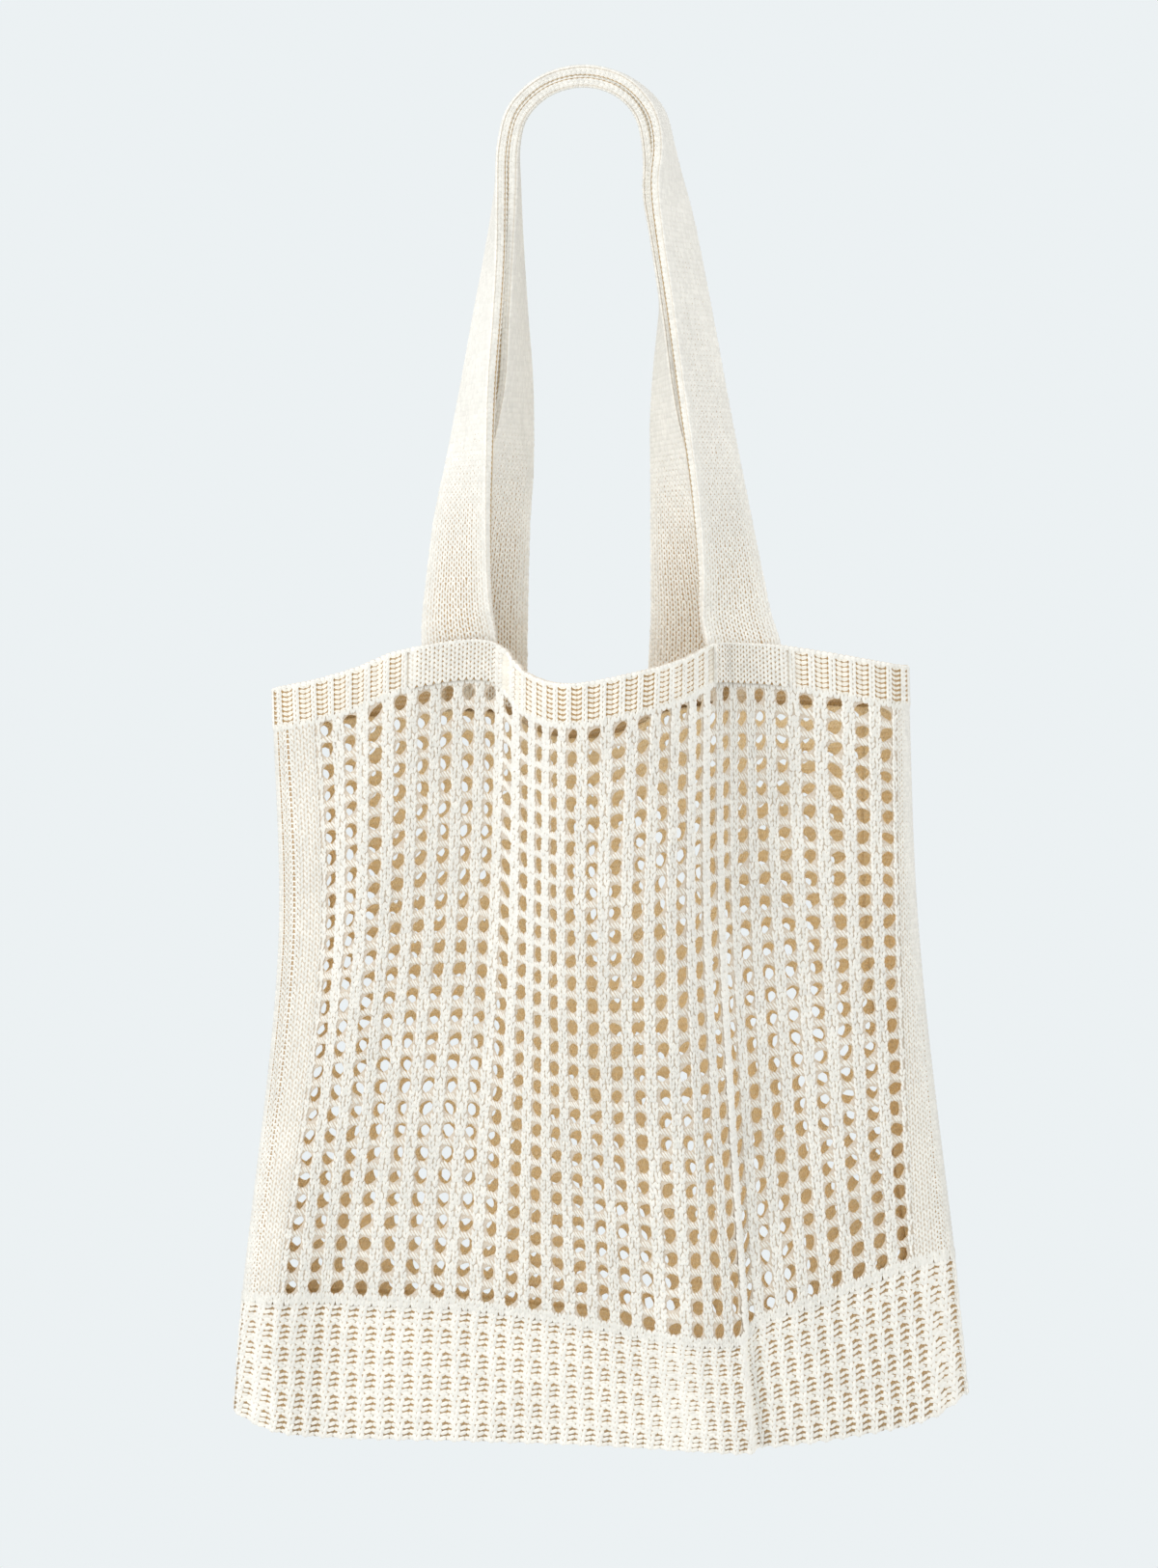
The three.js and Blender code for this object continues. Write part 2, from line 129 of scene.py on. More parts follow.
# %% The folds
FRONT_NAMES = "at rim topX topY waistX waistY border lowX lowY hem hemX hemY".split()
FRONT_FOLDS = [
    [-2, 0.056, -0.842, 0, -0.826, 0, 0.82, -0.924, 0, 0.968, -0.953, 0],
    [0, 0.047, -0.733, -0.13, -0.713, -0.11, 0.821, -0.827, -0.17, 0.99, -0.844, -0.1],
    [1.8, 0.031, -0.612, -0.2, -0.617, -0.3, 0.822, -0.717, -0.06, 0.997, -0.733, -0.08],
    [3.5, 0.01, -0.493, -0.26, -0.51, -0.29, 0.824, -0.609, -0.09, 0.998, -0.615, -0.13],
    [7.5, -0.002, -0.248, -0.26, -0.269, -0.37, 0.827, -0.329, -0.2, 0.998, -0.332, -0.23],
    [9.5, 0.039, -0.155, -0.49, -0.163, -0.57, 0.834, -0.196, -0.26, 0.998, -0.195, -0.29],
    [12.5, 0.0545, -0.031, -0.86, -0.034, -0.89, 0.844, -0.005, -0.39, 0.998, 0.003, -0.4],
    [15.5, 0.038, 0.163, -0.86, 0.141, -1, 0.858, 0.175, -0.51, 0.999, 0.193, -0.53],
    [17.5, 0.022, 0.267, -0.6, 0.256, -0.97, 0.865, 0.308, -0.63, 1, 0.329, -0.63],
    [19.5, 0.002, 0.345, -0.34, 0.345, -0.73, 0.861, 0.41, -0.69, 1, 0.436, -0.69],
    [20.2, 0, 0.37, -0.32, 0.372, -0.64, 0.853, 0.436, -0.55, 0.996, 0.469, -0.56],
    [21, 0, 0.4, -0.3, 0.405, -0.53, 0.838, 0.469, -0.54, 0.995, 0.507, -0.57],
    [23.5, 0.004, 0.526, -0.28, 0.551, -0.34, 0.815, 0.618, -0.47, 0.99, 0.665, -0.46],
    [28, 0.027, 0.847, -0.09, 0.855, -0.17, 0.773, 0.894, -0.19, 0.973, 0.934, -0.17],
    [30, 0.026, 0.874, 0.2, 0.9, 0.06, 0.765, 1.003, 0, 0.945, 1.042, 0],
]
BACK_NAMES = "at rim topX topY waistX waistY border lowX lowY".split()
BACK_FOLDS = [
    [28, 0.026, 0.779, 0.37, 0.779, 0.26, 0.775, 0.884, -0.03],
    [25, 0.024, 0.579, 0.4, 0.589, 0.4, 0.81, 0.695, -0.14],
    [20.2, 0.029, 0.263, 0.38, 0.326, 0.51, 0.845, 0.442, -0.28],
    [17, 0.056, 0.11, 0.72, 0.158, 0.71, 0.845, 0.263, -0.17],
    [14, 0.066, 0, 0.86, 0.01, 0.8, 0.84, 0.095, -0.06],
    [11, 0.06, -0.11, 0.7, -0.126, 0.71, 0.835, -0.105, 0],
    [7.6, 0.034, -0.258, 0.34, -0.284, 0.49, 0.825, -0.326, 0.09],
    [2, 0.04, -0.621, 0.31, -0.621, 0.29, 0.822, -0.684, 0.17],
    [0, 0.05, -0.747, 0.17, -0.737, 0.17, 0.82, -0.832, 0.11],
]


def smooth(places, values, at):
    """A smooth curve through a table's values. Values may have one list for each of the points in at."""
    places, values, at = np.asarray(places, float), np.asarray(values, float), np.asarray(at, float)
    last = len(places) - 1
    i = np.clip(np.searchsorted(places, at), 1, last)

    def pick(k):
        return values[k] if values.ndim == 1 else values[k, np.arange(at.size)]

    before, after = np.maximum(i - 2, 0), np.minimum(i + 1, last)
    span = places[i] - places[i - 1]
    t = (at - places[i - 1]) / span
    slope_from = (pick(i) - pick(before)) / (places[i] - places[before]) * span
    slope_to = (pick(after) - pick(i - 1)) / (places[after] - places[i - 1]) * span
    return (
        pick(i - 1) * (1 + 2 * t) * (1 - t) ** 2
        + slope_from * t * (1 - t) ** 2
        + pick(i) * t * t * (3 - 2 * t)
        - slope_to * t * t * (1 - t)
    )


def loop_table():
    """The whole loop as columns of numbers, repeated once each way round. The back's hem is the front's."""
    front = dict(zip(FRONT_NAMES, np.array(FRONT_FOLDS).T))
    back = dict(zip(BACK_NAMES, np.array(BACK_FOLDS).T))
    for name in ("hem", "hemX", "hemY"):
        back[name] = smooth(front["at"], front[name], back["at"])
    back["at"] = MIRROR_SUM - back["at"]
    once = {name: np.concatenate([front[name], back[name]]) for name in FRONT_NAMES}
    table = {name: np.tile(once[name], 3) for name in FRONT_NAMES}
    table["at"] = np.concatenate([once["at"] + turn * LOOP_COLUMNS for turn in (-1, 0, 1)])
    return table


LOOP = loop_table()
print("the loop of knitting has", len(FRONT_FOLDS), "folds in front and", len(BACK_FOLDS), "behind")

# %% [markdown]
# ## From a place in the knitting to a place in space
#
# Every piece of the body asks the same question: where is column c at level l, so far out of the wall? One
# function answers it, and so neighbouring pieces meet without being fitted to each other.


# %% The wall of the bag
def length(vectors):
    return np.linalg.norm(vectors, axis=-1)


def unit(vectors):
    return vectors / np.maximum(length(vectors), 1e-12)[..., None]


def seam_shift(column, level):
    """How far each wall moves off the seam at the hem, where the front and the back come to lie together."""
    t = np.clip((level - 1) / (HEM_LEVEL - 1), 0, 1)
    closing = t * t * (3 - 2 * t)
    half_loop = LOOP_COLUMNS / 2
    place = np.mod(column - LEFT_FOLD, LOOP_COLUMNS)
    to_fold = np.minimum(place % half_loop, half_loop - place % half_loop)
    side = np.where(place < half_loop, -1, 1)
    return side * closing * (WALL / 2 + SEAM_ROOM) * np.minimum(1, to_fold / SEAM_EASE)


def middle(column, level):
    """The middle of the knitted wall at each column and level, as rows of x, y and z."""
    column, level = np.broadcast_arrays(np.asarray(column, float), np.asarray(level, float))
    column, level = column.ravel(), level.ravel()
    value = {name: smooth(LOOP["at"], LOOP[name], column) for name in FRONT_NAMES if name != "at"}

    def across(axis):
        knots = np.array([value[where + axis] for where in ("top", "waist", "low", "hem")])
        return smooth([0, WAIST_LEVEL, 1, HEM_LEVEL], knots, level)

    rim, border, hem = (-STRAP_DROP - BODY_HEIGHT * value[name] for name in ("rim", "border", "hem"))
    below_band = rim - BAND_HEIGHT
    panel_share = (level - BAND_LEVEL) / (1 - BAND_LEVEL)
    hem_share = (level - 1) / (HEM_LEVEL - 1)
    on_band = rim - BAND_HEIGHT * level / BAND_LEVEL
    on_panel = below_band + (border - below_band) * panel_share
    on_hem = border + (hem - border) * hem_share
    z = np.where(level < BAND_LEVEL, on_band, np.where(level < 1, on_panel, on_hem))
    y = FULL_DEPTH * across("Y") + seam_shift(column, level)
    return np.stack([HALF_WIDTH * across("X"), y, z], axis=1)


def outward(column, level):
    """The level direction that points out of the wall."""
    run = middle(column + 0.1, level) - middle(column - 0.1, level)
    return unit(np.stack([run[:, 1], -run[:, 0], np.zeros(len(run))], axis=1))


def off_wall(column, level, distance):
    """Points at a distance out of the wall's middle."""
    points = middle(column, level)
    return points + outward(column, level) * np.broadcast_to(distance, len(points))[:, None]


# %% [markdown]
# ## Meshes from arrays
#
# The cores are meshes of many thousand faces, so they are made from arrays in one step. A thick sheet is
# two copies of the same net of faces, one on each side of the wall, joined along every free edge. A middle
# line in that joining wall rounds the edges, as yarn is round where it turns round an eyelet.


# %% Meshes
def mesh_piece(name, points, faces, named, uv):
    """A smooth mesh object at the origin, with named values on its points and a UV map for the knitting."""
    mesh = bpy.data.meshes.new(name)
    mesh.from_pydata(points.tolist(), [], faces, shade_flat=False)
    for label, values in named.items():
        stored = mesh.attributes.new(label, "FLOAT", "POINT")
        stored.data.foreach_set("value", np.asarray(values, np.float32))
    corners = np.empty(len(mesh.loops), np.int32)
    mesh.loops.foreach_get("vertex_index", corners)
    layer = mesh.uv_layers.new(name="knit")
    layer.data.foreach_set("uv", uv[corners].astype(np.float32).ravel())
    mesh.update()
    piece = bpy.data.objects.new(name, mesh)
    scene.collection.objects.link(piece)
    return piece


def free_edges(faces):
    """The directed edges that only one face uses, in order."""
    edges = np.stack([faces, np.roll(faces, -1, axis=1)], axis=2).reshape(-1, 2)
    known = {tuple(edge) for edge in edges.tolist()}
    return np.array(sorted(edge for edge in known if (edge[1], edge[0]) not in known), dtype=int)


def thick_sheet(name, faces, outer, inner, rim, uv, deep, inner_shade=1.0):
    """A closed wall from the same faces on an outer and an inner face, with a rounded rim between them.

    deep is how much painted shade shows between the stitches, and inner_shade how much warm painted shade its
    inner face has.
    """
    faces = np.asarray(faces)
    edges = free_edges(faces)
    on_rim = np.unique(edges)
    shift = len(outer)
    rim_index = np.full(shift, -1)
    rim_index[on_rim] = 2 * shift + np.arange(len(on_rim))
    points = np.concatenate([outer, inner, rim[on_rim]])
    a, b = edges.T
    rim_a, rim_b = rim_index[a], rim_index[b]
    strips = (b, a, rim_a, rim_b), (rim_b, rim_a, a + shift, b + shift)
    walls = np.concatenate([np.stack(strip, axis=1) for strip in strips])
    all_faces = [*faces.tolist(), *(faces[:, ::-1] + shift).tolist(), *walls.tolist()]
    rim_shade = 0.4 * inner_shade
    shades = [np.zeros(shift), np.full(shift, inner_shade), np.full(len(on_rim), rim_shade)]
    deep = np.broadcast_to(deep, shift)
    named = {"inside": np.concatenate(shades), "deep": np.concatenate([deep, deep, deep[on_rim]])}
    return mesh_piece(name, points, all_faces, named, np.concatenate([uv, uv, uv[on_rim]]))


def triangles(piece):
    piece.data.calc_loop_triangles()
    return len(piece.data.loop_triangles)


# %% [markdown]
# ## One stitch, laid many times
#
# A knitted stitch shows as a V of two short pieces of yarn. Each such leg is a small closed boat, keel up:
# pointed at both ends, round above and flat below, where it lies in the cloth. It could be a bent tube, but
# at the size of a stitch only its length, its lean and its plumpness can be seen. Its lower edges are
# sharp, so that the smooth shading of its back doesn't run round under it. The plump leg has two rings of
# points. The slim one has one ring and half the triangles, and is used where the picture hardly looks: on
# the back panel and on the straps' far faces.


# %% The shapes of a leg
LOW_TIP, LOW_EDGE = -0.3, -0.35  # how deep a leg's tips and lower edges lie, for a height of 1


def leg_shape(name, stations):
    """A leg along Z from -1 to 1, that rises along X. It has a ring of three points at each station."""
    points, faces = [(LOW_TIP, 0, -1)], []
    for z in stations:
        points += [(LOW_EDGE, -1, z), (1, 0, z), (LOW_EDGE, 1, z)]
    points.append((LOW_TIP, 0, 1))
    first, last = 1, 3 * len(stations) - 2
    end = len(points) - 1
    for side in range(3):
        other = (side + 1) % 3
        faces.append((0, first + other, first + side))
        faces.append((end, last + side, last + other))
        for ring in range(first, last, 3):
            faces.append((ring + side, ring + other, ring + 3 + other, ring + 3 + side))
    mesh = bpy.data.meshes.new(name)
    mesh.from_pydata(points, [], faces, shade_flat=False)
    lift = [x for x, y, z in points]
    sharp = [all(lift[v] < 0 for v in edge.vertices) for edge in mesh.edges]
    mesh.attributes.new("sharp_edge", "BOOLEAN", "EDGE").data.foreach_set("value", sharp)
    mesh.attributes.new("lift", "FLOAT", "POINT").data.foreach_set("value", lift)
    return bpy.data.objects.new(name, mesh)


PLUMP_LEG = leg_shape("plump_leg", (-0.45, 0.45))
SLIM_LEG = leg_shape("slim_leg", (0,))
print("a leg has", [len(leg.data.vertices) for leg in (PLUMP_LEG, SLIM_LEG)], "points")

# %% [markdown]
# The tree lays one leg at each point of a cloud: `run` says where it points, `rise` which way is out of the
# cloth, and `size` how thick, wide and long it is. Each leg keeps its own height as `lift`, so that the
# yarn's material can paint shade on the part that lies deep.


# %% The tree that lays the legs
def feed(tree, node, given):
    """Gives a node's inputs their values, plain ones or other nodes' outputs, and returns its outputs."""
    for socket, value in given.items():
        if isinstance(value, bpy.types.NodeSocket):
            tree.links.new(value, node.inputs[socket])
        else:
            node.inputs[socket].default_value = value
    return node.outputs


def named_sockets(tree, in_out, kinds):
    for label, kind in kinds.items():
        tree.interface.new_socket(label, in_out=in_out, socket_type="NodeSocket" + kind)


def laying_tree():
    tree = bpy.data.node_groups.new("lay_stitches", "GeometryNodeTree")
    named_sockets(tree, "INPUT", {"Places": "Geometry", "Leg": "Object", "Yarn": "Material"})
    named_sockets(tree, "OUTPUT", {"Stitches": "Geometry"})
    nodes = tree.nodes
    given = nodes.new("NodeGroupInput").outputs
    leg = nodes.new("GeometryNodeObjectInfo")
    leg.transform_space = "ORIGINAL"
    shape = feed(tree, leg, {"Object": given["Leg"]})["Geometry"]

    def stored(label):
        node = nodes.new("GeometryNodeInputNamedAttribute")
        node.data_type = "FLOAT_VECTOR"
        return feed(tree, node, {"Name": label})["Attribute"]

    turn = nodes.new("FunctionNodeAxesToRotation")
    turn.primary_axis = "Z"
    turn.secondary_axis = "X"
    turned = feed(tree, turn, {"Primary Axis": stored("run"), "Secondary Axis": stored("rise")})["Rotation"]
    where = {"Points": given["Places"], "Instance": shape, "Rotation": turned, "Scale": stored("size")}
    laid = feed(tree, nodes.new("GeometryNodeInstanceOnPoints"), where)["Instances"]
    real = feed(tree, nodes.new("GeometryNodeRealizeInstances"), {"Geometry": laid})["Geometry"]
    yarn_and_shade = feed(tree, nodes.new("GeometryNodeSetMaterial"), {"Geometry": real, "Material": given["Yarn"]})
    feed(tree, nodes.new("NodeGroupOutput"), {"Stitches": yarn_and_shade["Geometry"]})
    return tree


LAYING = laying_tree()


def lay(name, parts, yarn, leg):
    """Lays a leg at each place of the clouds in parts and returns the plain mesh that this makes."""
    cloud = {key: np.concatenate([part[key] for part in parts]).astype(np.float32) for key in parts[0]}
    mesh = bpy.data.meshes.new(name)
    mesh.from_pydata(cloud["place"].tolist(), [], [])
    for label in ("run", "rise", "size"):
        mesh.attributes.new(label, "FLOAT_VECTOR", "POINT").data.foreach_set("vector", cloud[label].ravel())
    for label in ("tone", "inside"):
        mesh.attributes.new(label, "FLOAT", "POINT").data.foreach_set("value", cloud[label])
    holder = bpy.data.objects.new(name, mesh)
    scene.collection.objects.link(holder)
    modifier = holder.modifiers.new("stitches", "NODES")
    modifier.node_group = LAYING
    values = {"Leg": leg, "Yarn": yarn}
    for item in LAYING.interface.items_tree:
        if item.name in values:
            modifier[item.identifier] = values[item.name]
    evaluated = holder.evaluated_get(bpy.context.evaluated_depsgraph_get())
    holder.data = bpy.data.meshes.new_from_object(evaluated)
    holder.modifiers.clear()
    bpy.data.meshes.remove(mesh)
    for label in ("run", "rise", "size"):
        if label in holder.data.attributes:
            holder.data.attributes.remove(holder.data.attributes[label])
    print(name, "has", len(cloud["place"]), "legs of yarn in", triangles(holder), "triangles")
    return holder


# %% [markdown]
# ## Where the legs go
#
# A place for a leg is given on the cloth, in stitches across and rows down, with the half of its run. The
# cloth itself turns that into a place and two directions, so a leg follows every fold.


# %% Clouds of legs
LEG_HIGH = 0.0009  # most legs are this high


# inside is how much warm painted shade a leg gets
def legs(surface, across, down, lean, reach, wide, high, out, inside=0.0):
    """Legs on a surface: lean is half a leg's run across, in stitches, and reach half its run in rows."""
    given = np.broadcast_arrays(across, down, lean, reach, wide, high, out)
    across, down, lean, reach, wide, high, out = (array.ravel().astype(float) for array in given)
    start = surface(across - lean, down - reach, out)
    end = surface(across + lean, down + reach, out)
    step = 0.3
    side = surface(across + step, down, out) - surface(across - step, down, out)
    ahead = surface(across, down + step, out) - surface(across, down - step, out)
    run = end - start
    stretch = length(side) / (2 * step * WALE)
    size = np.stack([high, wide * stretch, length(run) / 2], axis=1)
    return {
        "place": (start + end) / 2,
        "run": unit(run),
        "rise": unit(np.cross(ahead, side)),
        "size": size,
        "tone": chance.random(len(run)),
        "inside": np.full(len(run), inside),
    }


def chain(surface, across, down, out, apart, lean, wide, reach=0.76, high=LEG_HIGH):
    """Chains of Vs down the cloth: a leg at either side of each place."""
    sides = [(across + side * apart, -side * lean) for side in (-1, 1)]
    return [legs(surface, place, down, slope, reach, wide, high, out) for place, slope in sides]


# %% [markdown]
# ## Cotton yarn
#
# The yarn is matt, plied cotton. On the real bag the tops of the stitches are a warm white, and where light
# reaches only after bouncing from yarn to yarn, in the gaps and inside the bag, it turns a deep straw
# colour. Rendering many bounces would find some of that, but slowly and with grain, so the material paints
# that shade: straw-coloured painted shade where a leg dips into the cloth, brown painted shade in the gaps
# between stitches, and warm painted shade on the inner faces, in the straps' groove and on some rungs. A
# node group holds this for both materials, the stitches' yarn and the cores' cloth.


# %% The yarn's node group
def math_node(tree, operation, *values, clamp=False):
    node = tree.nodes.new("ShaderNodeMath")
    node.operation = operation
    node.use_clamp = clamp
    return feed(tree, node, dict(enumerate(values)))[0]


def mix_color(tree, factor, first, second, blend="MIX"):
    node = tree.nodes.new("ShaderNodeMix")
    node.data_type = "RGBA"
    node.blend_type = blend
    return feed(tree, node, {0: factor, 6: first, 7: second})[2]


def noise(tree, place, scale):
    return feed(tree, tree.nodes.new("ShaderNodeTexNoise"), {"Vector": place, "Scale": scale})["Fac"]


def yarn_group():
    group = bpy.data.node_groups.new("cotton_yarn", "ShaderNodeTree")
    named_sockets(group, "INPUT", {"Place": "Vector", "Depth": "Float", "Tone": "Float", "Inside": "Float"})
    named_sockets(group, "INPUT", {"Cream": "Color", "Low Shade": "Color", "Shade": "Color"})
    named_sockets(group, "OUTPUT", {"Color": "Color", "Height": "Float"})
    given = group.nodes.new("NodeGroupInput").outputs
    # Painted shade: towards the low shade colour low on a leg or in the gaps, then towards warm painted shade
    low_shaded = mix_color(group, given["Depth"], given["Cream"], given["Low Shade"])
    yarn_and_shade = mix_color(group, given["Inside"], low_shaded, given["Shade"])
    # Each leg has its own tone, and a slow cloudiness runs over the whole bag
    spread = math_node(group, "MULTIPLY_ADD", given["Tone"], 0.10, 0.90)
    mottled = math_node(group, "MULTIPLY_ADD", noise(group, given["Place"], 28), 0.16, 0.92)
    value = math_node(group, "MULTIPLY", spread, mottled)
    channels = dict.fromkeys(("Red", "Green", "Blue"), value)
    grey = feed(group, group.nodes.new("ShaderNodeCombineColor"), channels)[0]
    color = mix_color(group, 1.0, yarn_and_shade, grey, "MULTIPLY")
    fibre = noise(group, given["Place"], 1500)
    feed(group, group.nodes.new("NodeGroupOutput"), {"Color": color, "Height": fibre})
    return group


YARN = yarn_group()
print("the yarn's node group has", len(YARN.nodes), "nodes")


# %% The finishes
CREAM = (0.945, 0.94, 0.895, 1)
# Painted shade colour, low on a stitch where it dips into the cloth
LOW_SHADE = (0.56, 0.43, 0.28, 1)  # low on a stitch
# Painted shade colour in the gaps between stitches
GAP_SHADE = (0.44, 0.27, 0.1, 1)  # in the gaps between stitches
# Warm painted shade colour, for the inner faces, the straps' groove and some rungs
SHADE = (0.95, 0.79, 0.5, 1)  # on the inner faces
PURL_PAINTED_LIGHT, PURL_HEIGHT = 0.2, 1.5


def yarn_material(name, shade_color, bump, purl):
    """Cotton yarn. On a core, purl adds the inner side's rows of small bumps, with painted highlights on
    their tops.
    """
    material = bpy.data.materials.new(name)
    material.use_nodes = True
    tree = material.node_tree

    def stored(label):
        node = tree.nodes.new("ShaderNodeAttribute")
        node.attribute_name = label
        return node.outputs["Fac"]

    look = tree.nodes.new("ShaderNodeGroup")
    look.node_tree = YARN
    place = tree.nodes.new("ShaderNodeTexCoord").outputs["Object"]
    given = {"Place": place, "Inside": stored("inside"), "Cream": CREAM, "Low Shade": shade_color, "Shade": SHADE}
    if purl:
        given.update({"Depth": stored("deep"), "Tone": 0.5})
    else:
        # Painted shade on the low flanks of each leg, where it dips into the cloth
        depth = math_node(tree, "MULTIPLY_ADD", stored("lift"), -2.0, -0.05, clamp=True)
        given.update({"Depth": depth, "Tone": stored("tone")})
    look_out = feed(tree, look, given)
    color, height = look_out["Color"], look_out["Height"]
    if purl:
        uv = tree.nodes.new("ShaderNodeUVMap")
        uv.uv_map = "knit"
        parts = feed(tree, tree.nodes.new("ShaderNodeSeparateXYZ"), {"Vector": uv.outputs["UV"]})
        sway = math_node(tree, "SINE", math_node(tree, "MULTIPLY", parts["X"], 4 * math.pi))
        rows = math_node(tree, "ADD", math_node(tree, "MULTIPLY", parts["Y"], 2 * math.pi), sway)
        ridge = math_node(tree, "MULTIPLY_ADD", math_node(tree, "SINE", rows), 0.5, 0.5)
        # Painted highlight: the purl ridges' tops are mixed towards cream
        color = mix_color(tree, math_node(tree, "MULTIPLY", ridge, PURL_PAINTED_LIGHT), color, CREAM)
        height = math_node(tree, "ADD", height, math_node(tree, "MULTIPLY", ridge, PURL_HEIGHT))
    bumps = {"Strength": bump, "Distance": 0.0004, "Height": height}
    relief = feed(tree, tree.nodes.new("ShaderNodeBump"), bumps)["Normal"]
    matt = {"Roughness": 0.92, "Specular IOR Level": 0.25, "Sheen Weight": 0.12, "Sheen Roughness": 0.5}
    feed(tree, tree.nodes["Principled BSDF"], {**matt, "Base Color": color, "Normal": relief})
    return material


stitch_yarn = yarn_material("stitch_yarn", LOW_SHADE, bump=0.25, purl=False)
core_yarn = yarn_material("core_yarn", GAP_SHADE, bump=0.6, purl=True)

# %% [markdown]
# ## The front and back: openwork
#
# Each eyelet is made by leaving a stitch out and taking two together beside it. What is left is a net:
# upright braids of two stitches between the eyelets, and bridges of slanted yarn under and over them. The
# core of the net is one cell repeated, 28 across and 27 down, with an eyelet that is flat above and
# narrower below. Real knitting is never even, so each eyelet is a little larger, smaller or aside.

# %% The net of one panel
EYELET = [
    (1.08, 1.25), (1.75, 0.68), (2.3, 0.7), (2.98, 1.2), (3.1, 1.85), (3.04, 2.55),
    (2.68, 3.15), (2.25, 3.6), (1.95, 3.66), (1.4, 3.12), (1.0, 2.5), (0.93, 1.85),
]  # fmt: skip
BORDER = [
    (0, 0), (4 / 3, 0), (8 / 3, 0), (4, 0), (4, 4 / 3), (4, 8 / 3),
    (4, 4), (8 / 3, 4), (4 / 3, 4), (0, 4), (0, 8 / 3), (0, 4 / 3),
]  # fmt: skip
EYELET_MIDDLE = (2.0, 2.1)
CLOTH_HALF, EDGE_HALF = 0.0007, 0.00045  # half the thickness, which is less at the edge of an eyelet
PANEL_ROWS = CELL * PANEL_CELLS_DOWN


def wall_surface(first_column):
    """The wall below the top band as a surface, in stitches across from a column and in rows down."""

    def surface(across, down, out):
        level = BAND_LEVEL + (1 - BAND_LEVEL) * down / PANEL_ROWS
        return off_wall(first_column + across / CELL, level, out)

    return surface


def openwork_core(name, surface, eyelet_size):
    cells, count = PANEL_COLUMNS * PANEL_CELLS_DOWN, len(EYELET)
    cell_grid = np.meshgrid(np.arange(PANEL_COLUMNS), np.arange(PANEL_CELLS_DOWN))
    corner = np.stack(cell_grid, axis=2).reshape(-1, 1, 2) * CELL
    border = corner + np.array(BORDER)
    centre = np.array(EYELET_MIDDLE)
    spread = eyelet_size * chance.normal(1, 0.08, (cells, 1, 2)) * chance.normal(1, 0.06, (cells, count, 1))
    aside = chance.normal(0, 0.08, (cells, 1, 2))
    shape = np.tile(np.array(EYELET) - centre, (cells, 1, 1))
    # Most eyelets lean a little to the right
    shape[:, :, 0] -= chance.normal(0.14, 0.18, (cells, 1)) * shape[:, :, 1]
    at = corner + centre + aside
    eyelet, bulged = at + shape * spread, at + shape * spread * 0.9
    # Neighbouring cells share the points of their borders
    keys, index = np.unique(np.round(border.reshape(-1, 2) * 3).astype(int), axis=0, return_inverse=True)
    border_index = index.reshape(cells, count)
    spots = np.concatenate([keys / 3, eyelet.reshape(-1, 2)])
    rims = np.concatenate([keys / 3, bulged.reshape(-1, 2)])
    hole_index = len(keys) + np.arange(cells * count).reshape(cells, count)
    after = np.roll(np.arange(count), -1)
    corners = [border_index, hole_index, hole_index[:, after], border_index[:, after]]
    faces = np.stack(corners, axis=2).reshape(-1, 4)
    thick = np.concatenate([np.full(len(keys), CLOTH_HALF), np.full(cells * count, EDGE_HALF)])
    outer, inner = surface(*spots.T, thick), surface(*spots.T, -thick)
    return thick_sheet(name, faces, outer, inner, surface(*rims.T, 0), spots, 0.5)


# %% The stitches of one panel
BRAID_WIDE, BRIDGE_WIDE = 0.00078, 0.00062


def openwork_stitches(name, surface, leg):
    braid, row = np.meshgrid(np.arange(PANEL_COLUMNS + 1) * CELL, np.arange(PANEL_ROWS) + 0.5)
    # The chains of a braid part at the bridges and close up beside the eyelets
    parted = 1.04 + 0.26 * np.cos(2 * np.pi * row / CELL)
    parts = []
    for offset in (-0.46, 0.46):
        for side in (-1, 1):
            across = braid + offset * parted + side * 0.23 + chance.normal(0, 0.05, braid.shape)
            down = row + chance.normal(0, 0.07, row.shape)
            keep = (across > 0.2) & (across < PANEL_COLUMNS * CELL - 0.2)
            lean = -side * 0.15 + chance.normal(0, 0.04, row.shape)
            places = across[keep], down[keep], lean[keep]
            parts.append(legs(surface, *places, 0.72, BRAID_WIDE, LEG_HIGH, 0.0011))
    # A bridge is four strands that lean to the right, and one short leg back at its left
    columns, borders = np.arange(PANEL_COLUMNS) * CELL, np.arange(1, PANEL_CELLS_DOWN) * CELL
    left, border = (grid.ravel() for grid in np.meshgrid(columns, borders))
    for strand, reach in ((1.2, 0.6), (1.7, 0.72), (2.2, 0.82), (2.7, 0.72)):
        across = left + strand + chance.normal(0, 0.07, left.size)
        reach = reach * chance.normal(1, 0.08, left.size)
        places = across, border + 0.12, 0.68 * reach
        # The bridges' strands get a little warm painted shade
        parts.append(legs(surface, *places, reach, BRIDGE_WIDE, 0.0008, 0.0005, 0.06))
    parts.append(legs(surface, left + 0.95, border + 0.4, -0.3, 0.6, 0.0006, 0.0008, 0.0006))
    return lay(name, parts, stitch_yarn, leg)


def openwork_panel(name, first_column, eyelet_size, leg):
    surface = wall_surface(first_column)
    core = openwork_core(name + "_net", surface, eyelet_size)
    return core, openwork_stitches(name + "_stitches", surface, leg)


front_panel = openwork_panel("front_panel", 0, 1.0, PLUMP_LEG)
back_panel = openwork_panel("back_panel", PANEL_COLUMNS + SIDE_COLUMNS, 0.86, SLIM_LEG)
print("each net has", triangles(front_panel[0]), "triangles")

